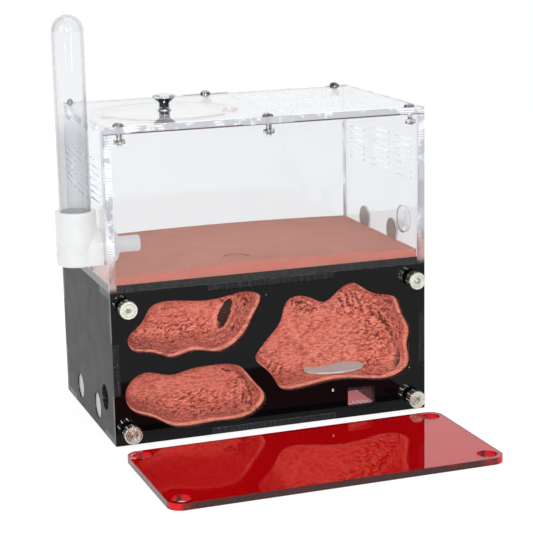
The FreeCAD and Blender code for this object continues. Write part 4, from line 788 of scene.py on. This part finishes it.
def carve(grid, plan, seed):
    """Displace a chamber's rings by its tool marks; returns the fields of painted shade and
    highlight and the roughness too.
    """
    x, z = seen_on_mask(grid)
    rough = np.full(x.shape, CALM)
    for x0, z0, half_x, half_z, amount in plan["rough"]:
        rough = np.maximum(rough, amount * zone(x, z, x0, z0, half_x, half_z))
    shape = {key: (scale, octaves, seed + shift)
             for key, (scale, octaves, shift) in RELIEF.items()}
    soft = wrinkles(grid, *shape["soft"])
    lumps = wrinkles(grid, *shape["lumps"], LUMP_STRETCH, FLECK_LEAN)
    grains = wrinkles(grid, *shape["grains"])
    drift = wrinkles(grid, *shape["drift"])
    flecks = ridges(grid, *shape["flecks"], FLECK_STRETCH, FLECK_LEAN)
    flecks = np.clip(flecks - 0.5, 0, 1) * np.clip(0.75 + 1.2 * lumps, 0, 1)
    push = sum((least + more * rough) * field
               for field, (least, more) in zip((soft, lumps, grains, flecks), DEPTHS))
    hollow = np.zeros(x.shape)
    cuts = np.zeros(x.shape)
    for x0, z0, x1, z1, width, depth in plan["gouges"]:
        mark = stroke(x + 0.9 * lumps, z + 0.9 * drift, x0, z0, x1, z1, 1.25 * width)
        mark *= np.clip(0.75 + 1.1 * grains, 0.15, 1)
        push += depth * mark
        cuts = np.maximum(cuts, np.clip(depth - SHALLOW_GOUGE, 0, 1) * mark)
    for x0, z0, half_x, half_z, turn, depth in plan["shelves"]:
        push += depth * zone(x + 0.6 * lumps, z, x0, z0, half_x, half_z, turn)
    # Hollows cut deeper, and darkened with painted shade.
    for x0, z0, half_x, half_z, turn, depth in plan["hollows"]:
        mark = zone(x + 0.9 * lumps, z + 0.5 * lumps, x0, z0, half_x, half_z, turn)
        push += depth * mark
        hollow = np.maximum(hollow, np.clip(mark * 1.6 - 0.3, 0, 1))
    steps = np.arange(grid.shape[0])[:, None] / WALL_STEPS
    ease = np.clip((steps - EASE["start"]) / EASE["length"], 0, 1) ** EASE["power"]
    still = np.clip((grid.shape[0] - 1 - steps * WALL_STEPS) / STILL_RINGS, 0, 1)
    push = push * ease * still
    fields = painted_relief_shading(push, cuts)
    fields = {"crevice_shade": fields["crevice_shade"] * ease, "ridge_highlight": fields["ridge_highlight"],
              "rough": np.clip(rough, 0, 1), "hollow": hollow * ease,
              "lip": np.clip(1 - steps * WALL_STEPS / RIM_HIGHLIGHT_RINGS, 0, 1) + np.zeros(x.shape)}
    return grid + outward(grid) * (push * MM)[..., None], fields


def seat_mesh(grid):
    """Flatten the chamber's floor where the steel mesh lies, with a ragged plaster edge."""
    x0, y0 = (value * MM for value in MESH_LEDGE["centre"])
    half_x, half_y = (value * MM for value in MESH_LEDGE["half"])
    inside = np.hypot((grid[..., 0] - x0) / half_x, (grid[..., 1] - y0) / half_y)
    inside += 0.06 * wrinkles(grid, *LEDGE_NOISE)
    share = np.clip((1.12 - inside) / 0.12, 0, 1)
    level = MESH_LEDGE["level"] * MM
    below = level + MESH_LEDGE["reach"] * MM - grid[..., 2]
    share = share * np.clip(below / (MESH_LEDGE["fade"] * MM), 0, 1)
    grid[..., 2] = grid[..., 2] * (1 - share) + level * share
    return grid


def block_outline(low, high):
    """Outline of the plaster's face, notched at its corners for the screw blocks."""
    side, rise = SCREW_NOTCH["side"] * MM, SCREW_NOTCH["rise"] * MM
    inner, foot, head = high.x - side, low.z + rise, high.z - rise
    return [(-high.x, foot), (-inner, foot), (-inner, low.z), (inner, low.z),
            (inner, foot), (high.x, foot), (high.x, head), (inner, head),
            (inner, high.z), (-inner, high.z), (-inner, head), (-high.x, head)]


def join_rings(work, rows, tip):
    """Faces between a chamber's rings, closed by a fan at its deepest point."""
    for upper, lower in zip(rows, rows[1:]):
        for index in range(AROUND):
            following = (index + 1) % AROUND
            work.faces.new((upper[index], upper[following], lower[following], lower[index]))
    for index in range(AROUND):
        work.faces.new((rows[-1][index], rows[-1][(index + 1) % AROUND], tip))


def carved_chambers(work, layers):
    """Add the three chambers to the mesh; returns the edges of their rims."""
    outlines = hole_outlines("nest_front", MASK_BACK_Y)[1:4]     # the first is the plate
    rims = []
    for seed, (name, plan) in enumerate(CHAMBERS.items(), start=1):
        centre = tuple(value * MM for value in plan["centre"])
        outline = min(outlines, key=lambda line: math.dist(line.mean(axis=0), centre))
        radii = outline_radii(outline, centre) - RIM_INSET
        grid, fields = carve(scoop_grid(radii, centre), plan, seed * 31.7)
        if name == "main":
            grid = seat_mesh(grid)
        rows = []
        for step in range(grid.shape[0] - 1):
            row = [work.verts.new(point) for point in grid[step]]
            for key, layer in layers.items():
                for vertex, value in zip(row, fields[key][step]):
                    vertex[layer] = value
            rows.append(row)
        join_rings(work, rows, work.verts.new(grid[-1].mean(axis=0)))
        rims += [work.edges.get((rows[0][index], rows[0][(index + 1) % AROUND]))
                 for index in range(AROUND)]
    return rims


def block_shell(work, lip):
    """Add the block's sides, back and tank recess; returns the other edges of its face."""
    low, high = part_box("nest_plaster")
    outline = block_outline(low, high)
    tank = [(TANK["left"] * MM, low.z), (TANK["left"] * MM, TANK["top"] * MM),
            (TANK["right"] * MM, TANK["top"] * MM), (TANK["right"] * MM, low.z)]
    front = [work.verts.new((x, PLASTER_FACE_Y, z)) for x, z in outline]
    back = [work.verts.new((x, high.y, z)) for x, z in outline]
    mouth = [work.verts.new((x, PLASTER_FACE_Y, z)) for x, z in tank]
    depth = [work.verts.new((x, PLASTER_FACE_Y + TANK["depth"] * MM, z)) for x, z in tank]
    foot = 2                     # the outline's side along the underside
    rims = []
    for index in range(len(front)):
        following = (index + 1) % len(front)
        if index == foot:
            work.faces.new((front[foot], mouth[0], depth[0], depth[3], mouth[3],
                            front[foot + 1], back[foot + 1], back[foot]))
        else:
            rims.append(work.edges.new((front[index], front[following])))
            work.faces.new((front[index], back[index], back[following], front[following]))
    for near, far in zip(range(3), range(1, 4)):
        work.faces.new((mouth[near], mouth[far], depth[far], depth[near]))
        rims.append(work.edges.get((mouth[near], mouth[far])))
    rims += [work.edges.get((front[foot], mouth[0])),
             work.edges.get((mouth[3], front[foot + 1]))]
    work.faces.new(depth)
    work.faces.new(back)
    # The face's outline and the tank's mouth take the rim's painted highlight.
    for vertex in front + mouth:
        vertex[lip] = 1.0
    return rims


def carved_block():
    """The plaster block: three carved chambers and the tank's recess in a notched face."""
    work = bmesh.new()
    layers = {key: work.verts.layers.float.new(key) for key in CARVED_FIELDS}
    rims = carved_chambers(work, layers) + block_shell(work, layers["lip"])
    bmesh.ops.triangle_fill(work, edges=rims, use_beauty=True)
    bmesh.ops.recalc_face_normals(work, faces=work.faces)
    mesh = bpy.data.meshes.new("carved_block")
    work.to_mesh(mesh)
    work.free()
    for polygon in mesh.polygons:
        polygon.use_smooth = True
    block = bpy.data.objects.new("carved_block", mesh)
    bpy.context.scene.collection.objects.link(block)
    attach(block, "nest")
    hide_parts("nest_plaster")
    mesh.materials.append(carved_plaster().material)


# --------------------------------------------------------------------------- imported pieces
WELD_DISTANCE = 1e-6
SHARP_ANGLE = math.radians(40)
SOFT_EDGE = 0.12 * MM


def soften_edges(*names):
    """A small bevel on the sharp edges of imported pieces."""
    for name in names:
        piece = nodes[name]
        weld = piece.modifiers.new("weld", "WELD")
        weld.merge_threshold = WELD_DISTANCE
        bevel = piece.modifiers.new("edges", "BEVEL")
        bevel.width = SOFT_EDGE
        bevel.segments = 2
        bevel.limit_method = "ANGLE"
        bevel.angle_limit = SHARP_ANGLE


def dress_packed_pieces():
    """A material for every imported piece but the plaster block, which the carving replaces."""
    for axis, names in (("Z", ("nest_floor", "nest_top", "arena_floor")),
                        ("X", ("nest_left_wall", "nest_right_wall")),
                        ("Y", ("nest_rear_wall", "nest_front"))):
        dress(black_sheet(axis), *names)
    for axis, names in (("X", ("arena_left_pane", "arena_right_pane", "port_bushing")),
                        ("Y", ("arena_front_pane", "arena_rear_pane", "corner_blocks")),
                        ("Z", ("arena_lid", "round_lid"))):
        dress(clear_sheet(axis), *names)
    dress(window_sheet("nest_window_sheet", 0.010), "nest_window")
    dress(window_sheet("glued_ring", 0.10), "lid_seat_ring")
    dress(red_sheet(), "red_cover")
    dress(tank_sheet(), "water_tray")
    dress(cast_plaster("cast_slab"), "arena_slab")
    dress(cast_plaster("cast_plug"), "entrance_plug")
    dress(woven_steel(), "moisture_mesh")
    dress(metal("magnet_nickel", (0.46, 0.47, 0.44), (0.60, 0.61, 0.57), 0.36, 500.0, 0.4),
          "nest_magnets", "arena_magnets")
    # Bolts, nuts and the knob's screw: a sharp mottle from near black to pale, painted glints
    # and painted dark reflections.
    dress(metal("bolt_steel", (0.05, 0.05, 0.05), (0.72, 0.72, 0.69), 0.16, 520.0, 1.0, 0.14),
          "lid_bolts", "lid_nuts", "knob_screw")
    dress(turned_chrome(), "lid_knob")
    dress(metal("brass_insert", (0.66, 0.45, 0.18), (0.80, 0.60, 0.28), 0.3, 900.0),
          "thread_inserts")
    dress(white_resin(), "tube_connector", "flange_nut", "connector_pipe")
    dress(clear_glass(), "test_tube")
    for corner in ("upper_left", "upper_right", "lower_left", "lower_right"):
        name = "thumb_screw_" + corner
        low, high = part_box(name)
        dress(turned_nickel("nickel_" + corner, (low + high) / 2), name)


# ---------------------------------------------------------------------------------- studio
WORLD = {"side": 0.22, "front": 0.60, "top": 0.64}
# Where the tent's walls begin and are full, as the cosine to the view or the height.
TENT = {"behind": (0.45, 0.70), "front": (-0.75, -0.35), "above": (0.35, 0.80)}
FLOOR_GLOW = 0.76
FLOOR_SIZE, FLOOR_DROP = 8.0, -0.0003
LAMP_AIM = Vector((0, 0, 0.08))
# Lamps: place in metres, width, height, watts.
LAMPS = {"left": ((-1.15, -0.65, 0.65), 0.35, 0.9, 2.0),
         "flash": ((-0.30, -0.92, 0.32), 0.10, 0.10, 5.0),
         "top": ((0.10, 0.25, 1.30), 0.9, 0.9, 1.5),
         "strip": ((0.10, -0.90, 0.35), 0.03, 0.60, 0.8)}


def surroundings():
    """White behind and above the object, greyer at its sides, as in a small light tent."""
    world = bpy.data.worlds.new("studio")
    world.use_nodes = True
    tree = world.node_tree

    def step(kind, *values, **settings):
        made = tree.nodes.new("ShaderNode" + kind)
        for key, value in settings.items():
            setattr(made, key, value)
        for socket, value in zip(made.inputs, values):
            if isinstance(value, bpy.types.NodeSocket):
                tree.links.new(value, socket)
            else:
                socket.default_value = value
        return made

    direction = step("TexCoord").outputs["Generated"]
    ahead = step("VectorMath", direction, (-math.sin(CAMERA_AZIMUTH),
                                           math.cos(CAMERA_AZIMUTH), 0.0),
                 operation="DOT_PRODUCT").outputs["Value"]
    height = step("SeparateXYZ", direction).outputs["Z"]
    side = WORLD["side"]
    behind = step("MapRange", ahead, *TENT["behind"], side, 1.0).outputs[0]
    front = step("MapRange", ahead, *TENT["front"], WORLD["front"], side).outputs[0]
    above = step("MapRange", height, *TENT["above"], side, WORLD["top"]).outputs[0]
    level = step("Math", behind, front, operation="MAXIMUM").outputs[0]
    level = step("Math", level, above, operation="MAXIMUM").outputs[0]
    tree.links.new(level, tree.nodes["Background"].inputs["Strength"])
    tree.nodes["Background"].inputs["Color"].default_value = colour(1, 1, 1)
    return world


def studio():
    """Pale floor and light tent, a small flash by the camera, soft lamps left and above,
    and a narrow upright strip that the tube reflects."""
    scene = bpy.context.scene
    scene.view_settings.view_transform = "Standard"
    scene.world = surroundings()
    bpy.ops.mesh.primitive_grid_add(x_subdivisions=4, y_subdivisions=4, size=FLOOR_SIZE,
                                    location=(0, 0, FLOOR_DROP))
    floor = bpy.context.object
    floor.name = "studio_floor"
    surface = Surface("pale_floor", Roughness=0.9, Specular_IOR_Level=0.0)
    grain = surface.noise(3.0, 2.0)
    surface.set("Base Color", surface.blend(grain, colour(0.38, 0.38, 0.38),
                                            colour(0.40, 0.40, 0.40)))
    surface.set("Emission Color", colour(1, 1, 1))
    surface.set("Emission Strength", FLOOR_GLOW)
    floor.data.materials.append(surface.material)
    for name, (place, width, height, power) in LAMPS.items():
        light = bpy.data.lights.new(name, "AREA")
        light.shape = "RECTANGLE"
        light.size, light.size_y = width, height
        light.energy = power
        lamp = bpy.data.objects.new(name, light)
        lamp.location = place
        lamp.rotation_euler = (LAMP_AIM - Vector(place)).to_track_quat("-Z", "Y").to_euler()
        scene.collection.objects.link(lamp)


def camera():
    """The camera at the photographed angle."""
    azimuth, elevation, roll = CAMERA_AZIMUTH, CAMERA_ELEVATION, CAMERA_ROLL
    back = Vector((math.sin(azimuth) * math.cos(elevation),
                   -math.cos(azimuth) * math.cos(elevation), math.sin(elevation)))
    right = Vector((math.cos(azimuth), math.sin(azimuth), 0))
    up = back.cross(right)
    rolled_right = right * math.cos(roll) + up * math.sin(roll)
    rolled_up = up * math.cos(roll) - right * math.sin(roll)
    lens = bpy.data.cameras.new("camera")
    lens.lens = CAMERA_LENS
    lens.sensor_width = SENSOR_WIDTH
    lens.clip_start = 0.01
    seat = bpy.data.objects.new("camera", lens)
    seat.matrix_world = Matrix((
        (rolled_right.x, rolled_up.x, back.x, CAMERA_PLACE.x),
        (rolled_right.y, rolled_up.y, back.y, CAMERA_PLACE.y),
        (rolled_right.z, rolled_up.z, back.z, CAMERA_PLACE.z),
        (0, 0, 0, 1)))
    bpy.context.scene.collection.objects.link(seat)
    bpy.context.scene.camera = seat


dress_packed_pieces()
carved_block()
soften_edges("nest_front", "nest_left_wall", "nest_right_wall", "nest_rear_wall",
             "nest_floor", "nest_top")
studio()
camera()
